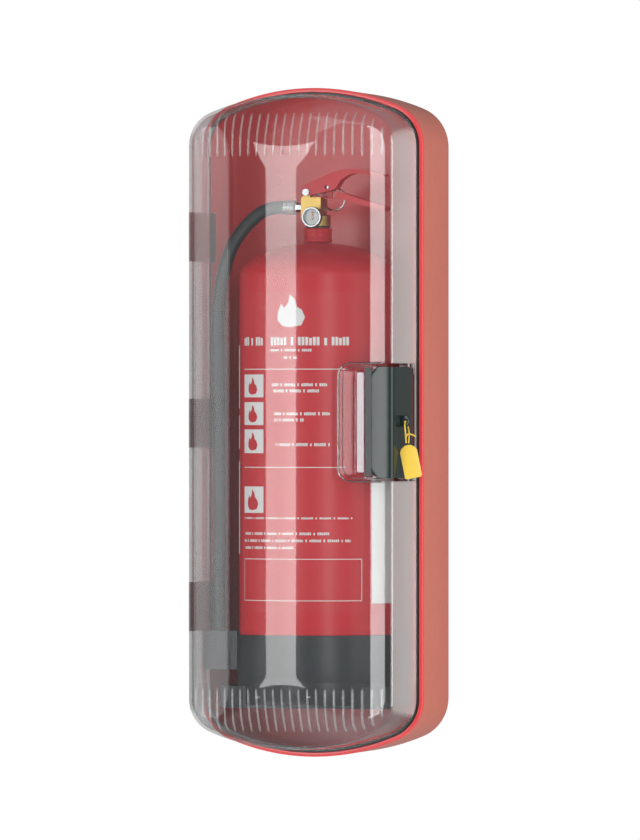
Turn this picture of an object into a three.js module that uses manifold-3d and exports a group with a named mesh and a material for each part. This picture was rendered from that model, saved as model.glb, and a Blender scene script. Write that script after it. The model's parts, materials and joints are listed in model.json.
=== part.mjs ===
// A nine-litre water fire extinguisher in its wall cabinet: a deep red back shell, a clear domed
// door on three hinges with a sealed latch handle, and the extinguisher standing on a tray inside.
// Millimetres. +Z is up, +Y points into the wall, and the origin is the centre of the cabinet's
// back face, so the rim of the shell lies in the plane y = -shellDepth and the door in front of it.

import * as THREE from 'three';
import { mergeVertices } from 'three/addons/utils/BufferGeometryUtils.js';
import Module from 'manifold-3d';

// ---- driving dimensions -------------------------------------------------------------------

const touchGap = 0.3;          // between parts that meet
const runningGap = 0.3;        // round a pin in its hole

// cabinet
const cabinetWidth = 268;
const cabinetHeight = 765;
const archRadius = 270;        // of the arched top and bottom
const cornerRadius = 50;
const shellDepth = 98;
const shellWall = 3;
const shellDraft = 2;          // the back is this much smaller all round
const lipWidth = 5;            // face of the rim
const lipDepth = 8;
const wallHoleRadius = 3.5;
const wallHoleSpacingX = 150;
const wallHoleSpacingZ = 560;

// door
const doorInset = 7;           // of the door's edge inside the rim
const doorWall = 3;
const doorSeat = 2.5;          // door's edge in front of the rim plane
const doorDepth = 106;         // rim plane to the front of the dome
const doorDraft = 3;
const doorEdgeRadius = 9;      // between the door's side and its front
const doorFrontRadius = 255;   // of the front, seen from above
const doorFlatHalf = 289;      // half height of the straight part of the front
const doorCrownRadius = 123.6; // the front curves back above and below that

// recess for the fingers, and the latch handle in it
const recessHalfHeight = 67;
const recessReach = 68;        // from the rim to its left edge
const recessSlope = 14;        // run of its left wall
const recessFloorBehind = 4;    // floor behind the dome's surface at the recess's side
const recessSideInset = 26;
const recessBottom = 6;
const handleReach = 32.5;      // from the rim to the handle's left edge
const handleHalfHeight = 63;
const handleThickness = 3.2;
const handleCorner = 10;
const latchAxisInset = 13.5;
const latchAxisFront = 12;     // latch axis in front of the rim plane
const latchPinRadius = 1.5;
const latchBarrelRadius = 3.4;
const latchBarrelGap = 14;     // half height of the gap for the spring
const pawlBase = 18;
const pawlTop = 38;
const pawlReach = 24;          // behind the rim plane
const pawlNose = 3;
const lugRadius = 6.5;
const lugThickness = 3;
const lugFront = 50;
const lugReach = 9.5;          // of its centre beyond the handle's side
const lugHoleRadius = 2;
const lugHeight = 1.4;
const lugSquareHalf = 6.5;

// hinges
const hingeHeights = [212, -1, -210.5];
const hingeLength = 56;
const hingeKnuckle = 16;       // length of the middle knuckle
const hingeKnuckleRadius = 3.3;
const hingePinRadius = 1.5;
const hingeAxisInset = 3.4;    // inside the rim
const hingeAxisFront = 5.2;
const hingeLeafReach = 60;     // of the door leaf, in front of the rim plane
const hingeLeafThickness = 2.4;
const hingeArmThickness = 1.8;
const hingeFootReach = 28;     // of the shell leaf, behind the rim plane

// extinguisher
const bottleX = 8.5;
const bottleFront = 3;         // its axis in front of the rim plane
const bottleRadius = 90;
const bottleWall = 1.6;
const bottleFloor = -322;
const shoulderStart = 166;
const shoulderTop = 205;
const weldSeamZ = -54;
const weldSeamHeight = 6;
const skirtRadius = 92.5;
const skirtTop = -242;
const skirtFloor = 3;
const neckRadius = 16;
const neckTop = 222;
const neckBore = 10.5;
const neckSpigot = 12.7;
const washerHeight = 2;

// valve
const stemRadius = 10.2;
const collarRadius = 14.5;
const collarTop = 237;
const blockLeft = -17;
const blockRight = 7;
const blockHalfDepth = 11;
const blockTop = 257;
const pivotX = -12;
const pivotZ = 263;
const pivotRadius = 2.2;
const pivotLugHalf = 5;
const pivotLugWidth = 10;
const spindleRadius = 2.5;
const spindleTop = 274.6;
const sealHeadRadius = 5.4;
const springRadius = 4.6;
const springWire = 0.8;
const springTurns = 6;
const chamberRadius = 6.2;
const chamberTop = 232;
const portZ = 245.9;
const portRadius = 4;
const leverCheekInner = 5.5;
const sheet = 1.6;             // pressed steel of lever and handle
const gripHalfWidth = 10;
const safetyHoleX = 12.4;
const safetyHoleZ = 268.6;
const safetyPinRadius = 1.8;
const gaugeX = 0;
const gaugeZ = 234.3;
const gaugeRadius = 11.7;
const gaugeDepth = 9;
const bezelOpening = 9.2;

// hose, nozzle and its holder
const hoseRadius = 7.5;
const ferruleRadius = 8.6;
const nozzleLength = 40;
const holderWall = 2.4;

// tray and cradle
const trayHalfWidth = 106;
const trayFront = 72;          // in front of the rim plane
const trayCorner = 40;
const trayLip = 22;
const trayThickness = 3;
const cradleZ = 100;
const cradleHeight = 46;
const cradleHalfAngle = 34;
const cradleScrewX = 48;
const cradleFootHalf = 56;
const cradleWebX = 36;
const cradleThickness = 4;
const cradleClearance = 1.5;   // between the saddle and the cylinder
const screwHeadRadius = 4;
const screwRadius = 2;

// ---- places that follow from them ---------------------------------------------------------

const rimY = -shellDepth;
const bottleY = rimY - bottleFront;
const hingeAxisY = rimY - hingeAxisFront;
const latchAxisY = rimY - latchAxisFront;
const doorHalf = cabinetWidth / 2 - doorInset;
const shellInner = cabinetWidth / 2 - shellWall;
const hingeAxisX = -cabinetWidth / 2 + hingeAxisInset;
const recessLeft = cabinetWidth / 2 - recessReach;
const recessSide = cabinetWidth / 2 - recessSideInset;
const recessFloor = doorDepth - doorFrontRadius
  + Math.sqrt(doorFrontRadius ** 2 - recessSide ** 2) - recessFloorBehind;
const handleLeft = cabinetWidth / 2 - handleReach;
const latchAxisX = cabinetWidth / 2 - latchAxisInset;
const frontArcCentre = rimY - doorDepth + doorFrontRadius;

// ---- solids -------------------------------------------------------------------------------

const wasm = await Module();
wasm.setup();

function plain(geometry) {
  const bare = new THREE.BufferGeometry();
  bare.setAttribute('position', geometry.getAttribute('position').clone());
  if (geometry.index) bare.setIndex(geometry.index.clone());
  const merged = mergeVertices(bare, 1e-4);
  const corners = merged.index.array;
  const kept = [];
  for (let i = 0; i < corners.length; i += 3) {
    const [a, b, c] = [corners[i], corners[i + 1], corners[i + 2]];
    if (a !== b && b !== c && c !== a) kept.push(a, b, c);
  }
  merged.setIndex(kept);
  return merged;
}

function signedVolume(geometry) {
  const position = geometry.getAttribute('position');
  const corners = geometry.index.array;
  const [a, b, c] = [new THREE.Vector3(), new THREE.Vector3(), new THREE.Vector3()];
  let volume = 0;
  for (let i = 0; i < corners.length; i += 3) {
    a.fromBufferAttribute(position, corners[i]);
    b.fromBufferAttribute(position, corners[i + 1]);
    c.fromBufferAttribute(position, corners[i + 2]);
    volume += a.dot(b.cross(c)) / 6;
  }
  return volume;
}

function facingOut(geometry) {
  const closed = plain(geometry);
  if (signedVolume(closed) < 0) closed.setIndex(Array.from(closed.index.array).reverse());
  return closed;
}

function toSolid(geometry) {
  const closed = facingOut(geometry);
  const vertProperties = new Float32Array(closed.getAttribute('position').array);
  const triVerts = new Uint32Array(closed.index.array);
  return new wasm.Manifold(new wasm.Mesh({ numProp: 3, vertProperties, triVerts }));
}

function toGeometry(solid) {
  const mesh = solid.getMesh();
  const geometry = new THREE.BufferGeometry();
  geometry.setAttribute('position', new THREE.BufferAttribute(mesh.vertProperties.slice(), 3));
  geometry.setIndex(Array.from(mesh.triVerts));
  return geometry;
}

function join(first, ...others) {
  return toGeometry(others.reduce((sum, other) => sum.add(toSolid(other)), toSolid(first)));
}

function cut(first, ...tools) {
  return toGeometry(tools.reduce((left, tool) => left.subtract(toSolid(tool)), toSolid(first)));
}

function common(first, ...others) {
  return toGeometry(others.reduce((part, other) => part.intersect(toSolid(other)), toSolid(first)));
}

// ---- shapes -------------------------------------------------------------------------------

function block(x0, x1, y0, y1, z0, z1) {
  const box = new THREE.BoxGeometry(x1 - x0, y1 - y0, z1 - z0);
  return box.translate((x0 + x1) / 2, (y0 + y1) / 2, (z0 + z1) / 2);
}

function outline(points) {
  return new THREE.Shape(points.map(([a, b]) => new THREE.Vector2(a, b)));
}

function extruded(points, length) {
  return new THREE.ExtrudeGeometry(outline(points), { depth: length, bevelEnabled: false, steps: 1 });
}

// points are (x, y), swept from z0 to z1
function prismZ(points, z0, z1) {
  return extruded(points, z1 - z0).translate(0, 0, z0);
}

// points are (x, z), swept from y0 to y1
function prismY(points, y0, y1) {
  return extruded(points, y1 - y0).rotateX(Math.PI / 2).translate(0, y1, 0);
}

// points are (y, z), swept from x0 to x1
function prismX(points, x0, x1) {
  const turn = new THREE.Matrix4().makeBasis(
    new THREE.Vector3(0, 1, 0), new THREE.Vector3(0, 0, 1), new THREE.Vector3(1, 0, 0));
  return extruded(points, x1 - x0).applyMatrix4(turn).translate(x0, 0, 0);
}

function arc(x, y, radius, from, to, steps) {
  const points = [];
  for (let i = 0; i <= steps; i++) {
    const angle = from + (to - from) * i / steps;
    points.push([x + radius * Math.cos(angle), y + radius * Math.sin(angle)]);
  }
  return points;
}

function roundedRectangle(x0, x1, z0, z1, radius, steps = 4) {
  const quarter = Math.PI / 2;
  return [
    ...arc(x1 - radius, z1 - radius, radius, 0, quarter, steps),
    ...arc(x0 + radius, z1 - radius, radius, quarter, 2 * quarter, steps),
    ...arc(x0 + radius, z0 + radius, radius, 2 * quarter, 3 * quarter, steps),
    ...arc(x1 - radius, z0 + radius, radius, 3 * quarter, 4 * quarter, steps),
  ];
}

function rodZ(radius, z0, z1, x = 0, y = 0, sides = 16) {
  const rod = new THREE.CylinderGeometry(radius, radius, z1 - z0, sides);
  return rod.rotateX(Math.PI / 2).translate(x, y, (z0 + z1) / 2);
}

function rodY(radius, y0, y1, x = 0, z = 0, sides = 16) {
  return new THREE.CylinderGeometry(radius, radius, y1 - y0, sides).translate(x, (y0 + y1) / 2, z);
}

function rodX(radius, x0, x1, y = 0, z = 0, sides = 16) {
  const rod = new THREE.CylinderGeometry(radius, radius, x1 - x0, sides);
  return rod.rotateZ(Math.PI / 2).translate((x0 + x1) / 2, y, z);
}

// profile points are (radius, z), turned about a vertical axis
function turned(profile, sides, x = 0, y = 0) {
  const points = profile.map(([r, z]) => new THREE.Vector2(r, z));
  return new THREE.LatheGeometry(points, sides).rotateX(Math.PI / 2).translate(x, y, 0);
}

// a closed ring of outlines, one behind the other along Y, each an array of (x, z)
function stacked(layers) {
  const count = layers[0].points.length;
  const positions = layers.flatMap(({ y, points }) => points.flatMap(([x, z]) => [x, y, z]));
  const faces = [];
  for (let layer = 0; layer + 1 < layers.length; layer++) {
    for (let i = 0; i < count; i++) {
      const next = (i + 1) % count;
      const [a, b] = [layer * count + i, layer * count + next];
      faces.push(a, b, a + count, b, b + count, a + count);
    }
  }
  const last = (layers.length - 1) * count;
  for (let i = 1; i + 1 < count; i++) {
    faces.push(0, i + 1, i, last, last + i, last + i + 1);
  }
  const geometry = new THREE.BufferGeometry();
  geometry.setAttribute('position', new THREE.Float32BufferAttribute(positions, 3));
  geometry.setIndex(faces);
  return facingOut(geometry);
}

function tubeAlong(curve, radius, sides, steps) {
  const section = new THREE.Shape(arc(0, 0, radius, 0, 2 * Math.PI, sides).slice(0, sides)
    .map(([a, b]) => new THREE.Vector2(a, b)));
  return new THREE.ExtrudeGeometry(section, { steps, extrudePath: curve, bevelEnabled: false });
}

function helix(radius, z0, z1, turns, x = 0, y = 0, stepsPerTurn = 12) {
  const points = [];
  for (let i = 0; i <= turns * stepsPerTurn; i++) {
    const angle = 2 * Math.PI * i / stepsPerTurn;
    const z = z0 + (z1 - z0) * i / (turns * stepsPerTurn);
    points.push(new THREE.Vector3(x + radius * Math.cos(angle), y + radius * Math.sin(angle), z));
  }
  return new THREE.CatmullRomCurve3(points);
}

// ---- the object as a scene graph ----------------------------------------------------------

const cabinetWithExtinguisher = new THREE.Group();

const finishes = {
  redPlastic: { color: 0xc9332c, roughness: 0.45, metalness: 0 },
  redPaint: { color: 0xb8141a, roughness: 0.3, metalness: 0.1 },
  clearPlastic: { color: 0xd9dcd8, roughness: 0.08, metalness: 0 },
  blackPlastic: { color: 0x15171a, roughness: 0.4, metalness: 0 },
  darkGloss: { color: 0x1d2b2b, roughness: 0.12, metalness: 0 },
  blackRubber: { color: 0x121516, roughness: 0.6, metalness: 0 },
  steel: { color: 0xb9bcc0, roughness: 0.3, metalness: 1 },
  brass: { color: 0xc9a24a, roughness: 0.3, metalness: 1 },
  yellowPlastic: { color: 0xf2cf1f, roughness: 0.4, metalness: 0 },
  whitePlastic: { color: 0xe9e9e4, roughness: 0.5, metalness: 0 },
  needleRed: { color: 0xd0261e, roughness: 0.5, metalness: 0 },
  gaugeClear: { color: 0xe6efee, roughness: 0.05, metalness: 0 },
};

function add(name, geometry, finish, place = cabinetWithExtinguisher) {
  const material = new THREE.MeshStandardMaterial(finishes[finish]);
  const mesh = new THREE.Mesh(facingOut(geometry), material);
  mesh.name = name;
  place.add(mesh);
}

// ---- cabinet ------------------------------------------------------------------------------

// half of the outline's top, an arch between two rounded corners, mirrored for the bottom
function archedOutline(inset) {
  const radius = archRadius - inset;
  const corner = cornerRadius - inset;
  const cornerX = cabinetWidth / 2 - cornerRadius;
  const archCentre = cabinetHeight / 2 - archRadius;
  const cornerZ = archCentre + Math.sqrt((archRadius - cornerRadius) ** 2 - cornerX ** 2);
  const lean = Math.atan2(cornerZ - archCentre, cornerX);
  const upper = [
    ...arc(cornerX, cornerZ, corner, 0, lean, 6),
    ...arc(0, archCentre, radius, lean, Math.PI - lean, 8).slice(1, -1),
    ...arc(-cornerX, cornerZ, corner, Math.PI - lean, Math.PI, 6),
  ];
  return [...upper, ...upper.map(([x, z]) => [-x, -z])];
}

function layer(y, inset) {
  return { y, points: archedOutline(inset) };
}

const slotRight = hingeAxisX + hingeKnuckleRadius + touchGap;
const slotLeft = slotRight - hingeArmThickness - 1.2;

function hingeSlots(from, to, x0, x1) {
  return hingeHeights.map((z) => {
    const half = hingeLength / 2 + 1;
    return block(x0, x1, rimY + from, rimY + to, z - half, z + half);
  });
}

function backShell() {
  const body = stacked([layer(0, shellDraft), layer(rimY, 0)]);
  const hollow = stacked([
    layer(-shellWall, shellDraft + shellWall), layer(rimY + lipDepth, shellWall)]);
  const mouth = stacked([layer(rimY + lipDepth + 1, lipWidth), layer(rimY - 1, lipWidth)]);
  const holes = [-1, 1].flatMap((sx) => [-1, 1].map((sz) => rodY(wallHoleRadius, -10, 10,
    sx * wallHoleSpacingX / 2, sz * wallHoleSpacingZ / 2, 12)));
  return cut(body, hollow, mouth, ...holes, ...hingeSlots(-1, lipDepth + 1, slotLeft, -cabinetWidth / 2 + lipWidth + 3));
}
add('back_shell', backShell(), 'redPlastic');

function doorGasket() {
  const ring = stacked([layer(rimY - 2, lipWidth + 0.2), layer(rimY + 2, lipWidth + 0.2)]);
  const inside = stacked([layer(rimY - 3, lipWidth + 5), layer(rimY + 3, lipWidth + 5)]);
  return cut(ring, inside, ...hingeSlots(-3, 3, slotLeft, slotRight));
}
add('door_gasket', doorGasket(), 'blackRubber');

// shelf with a lip that the bottle stands in, and a back plate that is screwed to the shell
function baseTray() {
  const back = -shellWall - touchGap;
  const front = rimY - trayFront;
  const left = bottleX - trayHalfWidth;
  const right = bottleX + trayHalfWidth;
  const quarter = Math.PI / 2;
  const plan = (inset) => [
    [left + inset, back - (inset ? trayThickness : 0)],
    ...arc(left + trayCorner, front + trayCorner, trayCorner - inset, 2 * quarter, 3 * quarter, 6),
    ...arc(right - trayCorner, front + trayCorner, trayCorner - inset, 3 * quarter, 4 * quarter, 6),
    [right - inset, back - (inset ? trayThickness : 0)],
  ];
  const floor = bottleFloor - touchGap;
  const body = prismZ(plan(0), floor - trayThickness, floor + trayLip);
  const inside = prismZ(plan(trayThickness), floor, floor + trayLip + 1);
  const plate = block(left + 2, right - 2, back - trayThickness, back, floor - 1, skirtTop);
  const holes = [-1, 1].map((s) => rodY(screwRadius + runningGap, back - 10, back + 1,
    bottleX + s * 80, skirtTop - 12, 12));
  const foot = rodZ(skirtRadius + 1, floor, 0, bottleX, bottleY, 64);
  return cut(join(cut(body, inside), plate), foot, ...holes);
}
add('base_tray', baseTray(), 'blackPlastic');

// saddle behind the bottle
function cylinderCradle() {
  const inner = bottleRadius + cradleClearance;
  const half = THREE.MathUtils.degToRad(cradleHalfAngle);
  const up = Math.PI / 2;
  const curve = [
    ...arc(bottleX, bottleY, inner, up - half, up + half, 10),
    ...arc(bottleX, bottleY, inner + cradleThickness, up + half, up - half, 10),
  ];
  const back = -shellWall - touchGap;
  const low = cradleZ - cradleHeight / 2;
  const high = cradleZ + cradleHeight / 2;
  const saddle = prismZ(curve, low, high);
  const foot = block(bottleX - cradleFootHalf, bottleX + cradleFootHalf, back - trayThickness, back,
    low, high);
  const webFront = bottleY + Math.sqrt(inner ** 2 - (cradleWebX + 2) ** 2);
  const webs = [-1, 1].map((s) => block(bottleX + s * cradleWebX - 2, bottleX + s * cradleWebX + 2,
    webFront, back - 1, low, high));
  const clear = rodZ(inner, low - 1, high + 1, bottleX, bottleY, 64);
  const holes = [-1, 1].map((s) => rodY(screwRadius + runningGap, -20, 0,
    bottleX + s * cradleScrewX, cradleZ, 12));
  return cut(join(saddle, foot, ...webs), clear, ...holes);
}
add('cylinder_cradle', cylinderCradle(), 'blackPlastic');

// a round-headed screw through a plate of the given thickness on the shell's back wall
function backScrew(x, z, plate) {
  const face = -shellWall - touchGap - plate - touchGap;
  return join(rodY(screwHeadRadius, face - 2, face, x, z, 12),
    rodY(screwRadius, face - 0.5, -shellWall - touchGap, x, z, 12));
}
[-1, 1].forEach((s, i) => {
  add(`cradle_screw_${i + 1}`, backScrew(bottleX + s * cradleScrewX, cradleZ, trayThickness), 'steel');
  add(`tray_screw_${i + 1}`, backScrew(bottleX + s * 80, skirtTop - 12, trayThickness), 'steel');
});

// ---- hinges -------------------------------------------------------------------------------

const wallLean = doorDraft / doorDepth;         // of the door's side, inwards per unit of depth

function hingeDoorLeaf(z) {
  const outer = (reach) => -doorHalf + wallLean * reach - touchGap;
  const plan = [
    [hingeAxisX - 1, hingeAxisY], [hingeAxisX + hingeKnuckleRadius - 0.3, hingeAxisY],
    [outer(hingeAxisFront + 6), rimY - hingeAxisFront - 6],
    [outer(hingeLeafReach), rimY - hingeLeafReach],
    [outer(hingeLeafReach) - hingeLeafThickness, rimY - hingeLeafReach],
    [outer(hingeAxisFront + 9) - hingeLeafThickness, rimY - hingeAxisFront - 9],
  ];
  const half = hingeLength / 2;
  const middle = hingeKnuckle / 2;
  const clearing = half + 1;
  const around = hingeKnuckleRadius + 1;
  const leaf = prismZ(plan, z - half, z + half);
  const reliefs = [-1, 1].map((s) => block(hingeAxisX - 5, hingeAxisX + 7,
    hingeAxisY - around, hingeAxisY + around,
    z + Math.min(s * middle, s * clearing), z + Math.max(s * middle, s * clearing)));
  const knuckle = rodZ(hingeKnuckleRadius, z - middle, z + middle, hingeAxisX, hingeAxisY, 16);
  const bore = rodZ(hingePinRadius + runningGap, z - half, z + half, hingeAxisX, hingeAxisY, 16);
  return cut(join(cut(leaf, ...reliefs), knuckle), bore);
}

function hingeShellLeaf(z) {
  const armRight = hingeAxisX + hingeKnuckleRadius - 0.1;
  const armLeft = armRight - hingeArmThickness;
  const foot = -shellInner + touchGap + 0.7;
  const plan = [
    [armLeft, hingeAxisY + 1], [armRight, hingeAxisY + 1],
    [armRight, rimY + hingeFootReach], [foot, rimY + hingeFootReach],
    [foot, rimY + lipDepth + 1], [armLeft, rimY + lipDepth + 1],
  ];
  const half = hingeLength / 2;
  const middle = hingeKnuckle / 2 + touchGap;
  const arm = prismZ(plan, z - half, z + half);
  const knuckle = rodZ(hingeKnuckleRadius, z - half, z + half, hingeAxisX, hingeAxisY, 16);
  const window = block(hingeAxisX - 6, hingeAxisX + 8, hingeAxisY - 6,
    hingeAxisY + hingeKnuckleRadius + 0.6, z - middle, z + middle);
  const bore = rodZ(hingePinRadius + runningGap, z - half - 1, z + half + 1, hingeAxisX, hingeAxisY, 16);
  return cut(join(arm, knuckle), window, bore);
}

function hingePin(z) {
  const half = hingeLength / 2;
  return join(rodZ(hingePinRadius, z - half, z + half + 0.5, hingeAxisX, hingeAxisY, 16),
    rodZ(hingePinRadius + 1, z + half + touchGap, z + half + 1.8, hingeAxisX, hingeAxisY, 16));
}

hingeHeights.forEach((z, i) => {
  add(`hinge_shell_leaf_${i + 1}`, hingeShellLeaf(z), 'blackPlastic');
  add(`hinge_door_leaf_${i + 1}`, hingeDoorLeaf(z), 'blackPlastic');
  add(`hinge_pin_${i + 1}`, hingePin(z), 'steel');
});

// ---- door ---------------------------------------------------------------------------------

// the dome as a solid, its faces moved inwards by offset: the moulded side with its rounded
// edge, met by the curved front seen from above and by the crown seen from the side
function domeSolid(offset) {
  const radius = doorFrontRadius - offset;
  const edge = doorEdgeRadius - offset;
  const edgeX = doorHalf - doorDraft - doorEdgeRadius;
  const edgeY = frontArcCentre - Math.sqrt((doorFrontRadius - doorEdgeRadius) ** 2 - edgeX ** 2);
  const turn = Math.acos(edgeX / (doorFrontRadius - doorEdgeRadius));
  const base = doorInset + doorDraft + offset;
  const layers = [layer(rimY - doorSeat + (offset > 0 ? 1 : 0), doorInset + offset)];
  for (let i = 0; i <= 3; i++) {
    const angle = turn * i / 3;
    layers.push(layer(edgeY - edge * Math.sin(angle), base + edge * (1 - Math.cos(angle))));
  }
  const last = layers[layers.length - 1];
  const deepest = rimY - doorDepth - 4;
  const lastInset = base + edge * (1 - Math.cos(turn));
  layers.push(layer(deepest, lastInset + (last.y - deepest)));

  const half = Math.asin(cabinetWidth / 2 / doorFrontRadius);
  const down = -Math.PI / 2;
  const front = prismZ([...arc(0, frontArcCentre, radius, down - half, down + half, 14),
    [cabinetWidth / 2, 0], [-cabinetWidth / 2, 0]], -cabinetHeight, cabinetHeight);

  const crown = doorCrownRadius - offset;
  const crownY = rimY - doorDepth + doorCrownRadius;
  const bend = Math.PI * 0.3;
  const top = arc(crownY, doorFlatHalf, crown, Math.PI, Math.PI - bend, 6);
  const bottom = arc(crownY, -doorFlatHalf, crown, Math.PI + bend, Math.PI, 6);
  const side = prismX([[0, cabinetHeight], [0, -cabinetHeight], [bottom[0][0], -cabinetHeight],
    ...bottom, ...top, [top[6][0], cabinetHeight]], -cabinetWidth, cabinetWidth);
  return common(stacked(layers), front, side);
}

// finger recess and handle seat cut into the door's right edge, grown by the door's wall
function recessTool(grow) {
  const half = recessHalfHeight + grow;
  const lowFront = rimY - recessFloor + grow;
  const far = cabinetWidth;
  const plan = [
    [recessLeft - grow, rimY - doorDepth - 20], [recessLeft - grow, rimY - 96],
    [recessLeft + recessSlope - grow, lowFront], [recessSide - grow, lowFront],
    [recessSide - grow, rimY - recessBottom + grow], [far, rimY - recessBottom + grow],
    [far, rimY - doorDepth - 20],
  ];
  const body = prismZ(plan, -half, half);
  const rounding = prismY(roundedRectangle(recessLeft - grow, far + 40, -half, half, 14 + grow),
    rimY - doorDepth - 30, 0);
  return common(body, rounding);
}

const latchHoleSide = latchPinRadius + runningGap;
const latchPinHalf = recessHalfHeight + doorWall - 0.6;

function doorCover() {
  const pawlSlot = block(latchAxisX - 10, latchAxisX + 4.5, rimY - recessBottom - 4, rimY + 1,
    pawlBase - 2, pawlTop + 2);
  const pinHole = rodZ(latchHoleSide, -latchPinHalf - touchGap, latchPinHalf + touchGap,
    latchAxisX, latchAxisY, 12);
  const outside = cut(domeSolid(0), recessTool(0));
  const inside = cut(domeSolid(doorWall), recessTool(doorWall));
  return cut(outside, inside, pawlSlot, pinHole);
}
add('door_cover', doorCover(), 'clearPlastic');

// ---- latch handle -------------------------------------------------------------------------

function latchHandle() {
  const solid = cut(domeSolid(0), domeSolid(handleThickness));
  const zone = block(handleLeft, cabinetWidth, rimY - doorDepth, rimY - 8.6,
    -handleHalfHeight, handleHalfHeight);
  const rounding = prismY(roundedRectangle(handleLeft, cabinetWidth, -handleHalfHeight,
    handleHalfHeight, handleCorner), rimY - doorDepth - 5, rimY);
  const face = common(solid, zone, rounding);

  const wallX = doorHalf - wallLean * latchAxisFront;
  const barrel = rodZ(latchBarrelRadius, -handleHalfHeight + 1, handleHalfHeight - 1,
    latchAxisX, latchAxisY, 16);
  const bridge = block(latchAxisX, wallX - 1, latchAxisY - 2, latchAxisY + 3,
    -handleHalfHeight + 1, handleHalfHeight - 1);
  const springRoom = block(latchAxisX - 6, wallX - handleThickness, latchAxisY - 8,
    latchAxisY + 8, -latchBarrelGap, latchBarrelGap);
  const bore = rodZ(latchPinRadius + runningGap, -handleHalfHeight, handleHalfHeight,
    latchAxisX, latchAxisY, 16);

  const pawlPlan = [
    [latchAxisX - 1.5, latchAxisY], [latchAxisX + 1.5, latchAxisY],
    [latchAxisX + 1.5, rimY + pawlReach - 8], [latchAxisX + pawlNose, rimY + pawlReach - 6],
    [latchAxisX + pawlNose, rimY + pawlReach], [latchAxisX - 1.5, rimY + pawlReach],
  ];
  const pawl = prismZ(pawlPlan, pawlBase, pawlTop);

  const sideX = doorHalf - wallLean * lugFront;
  const lugY = rimY - lugFront;
  const lugCentre = sideX + lugReach - lugRadius + 2;
  const lug = rodY(lugRadius, lugY - lugThickness / 2, lugY + lugThickness / 2, lugCentre,
    lugHeight, 20);
  const root = block(sideX - 1.5, lugCentre, lugY - lugThickness / 2, lugY + lugThickness / 2,
    lugHeight - lugSquareHalf, lugHeight + lugSquareHalf);
  const eye = rodY(lugHoleRadius, lugY - 5, lugY + 5, lugCentre, lugHeight, 12);
  return cut(join(cut(join(face, barrel, bridge), springRoom), pawl, lug, root), bore, eye);
}
add('latch_handle', latchHandle(), 'darkGloss');

add('latch_pin', rodZ(latchPinRadius, -latchPinHalf, latchPinHalf, latchAxisX, latchAxisY, 12), 'steel');

const latchSpringWire = 0.5;
add('latch_spring', tubeAlong(helix(latchPinRadius + runningGap + latchSpringWire + 0.1,
  -latchBarrelGap + 1, latchBarrelGap - 1, 6, latchAxisX, latchAxisY, 8), latchSpringWire, 4, 48),
  'steel');

// fixed catch on the shell's wall, beside the pawl's nose
function latchKeeper() {
  const wall = shellInner - touchGap - 0.6;
  const face = latchAxisX + pawlNose + 3;
  const low = pawlBase - 4;
  const high = pawlTop + 4;
  const ledge = block(face, wall, rimY + 10, rimY + 14, low, high);
  const foot = block(wall - 1.6, wall, rimY + 10, rimY + 34, low, high);
  return join(ledge, foot);
}
add('latch_keeper', latchKeeper(), 'steel');

// ---- tamper seal --------------------------------------------------------------------------

const lugHoleX = doorHalf - wallLean * lugFront + lugReach - lugRadius + 2;
const lugHoleY = rimY - lugFront;
const tagLean = THREE.MathUtils.degToRad(11.4);
const tagWidth = 20;
const tagHeight = 38;
const tagThickness = 1.6;
const tagDrop = 28;            // lug hole to the tag's top

// a loop of thin strap through the lug's hole that returns to the tag
function sealStrap() {
  const top = [lugHoleX, lugHoleY, lugHeight];
  const low = lugHeight - tagDrop;
  const route = [
    [2, -4.2, low + 3], [1.2, -4.4, low + 14], [0.2, -3.8, -5 + lugHeight], [0, -2.6, lugHeight - 0.8],
    [0, 0, lugHeight], [0, 2.6, lugHeight - 0.8], [1.4, 3.4, -6 + lugHeight],
    [3.6, 1, low + 14], [4.4, -2.6, low + 3],
  ].map(([x, y, z]) => new THREE.Vector3(top[0] + x, top[1] + y, z));
  return tubeAlong(new THREE.CatmullRomCurve3(route), 0.8, 6, 36);
}
add('seal_strap', sealStrap(), 'yellowPlastic');

function sealTag() {
  const shoulder = 7;
  const half = tagWidth / 2;
  const points = [[-3, 0], [3, 0], [half - 2, -3], [half, -shoulder], [half, -tagHeight + 2],
    [half - 2, -tagHeight], [-half + 2, -tagHeight], [-half, -tagHeight + 2], [-half, -shoulder],
    [-half + 2, -3]];
  const plate = prismY(points, -tagThickness / 2, tagThickness / 2);
  return plate.rotateY(-tagLean).rotateZ(THREE.MathUtils.degToRad(8))
    .translate(lugHoleX + 3.2, lugHoleY - 3.4, lugHeight - tagDrop + 2.1);
}
add('seal_tag', sealTag(), 'yellowPlastic');

// ---- extinguisher -------------------------------------------------------------------------

const extinguisher = new THREE.Group();        // its own axis is the group's Z axis
extinguisher.position.set(bottleX, bottleY, 0);
cabinetWithExtinguisher.add(extinguisher);

const bottleSides = 32;
const bottomZ = bottleFloor + skirtFloor + touchGap;

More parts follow.
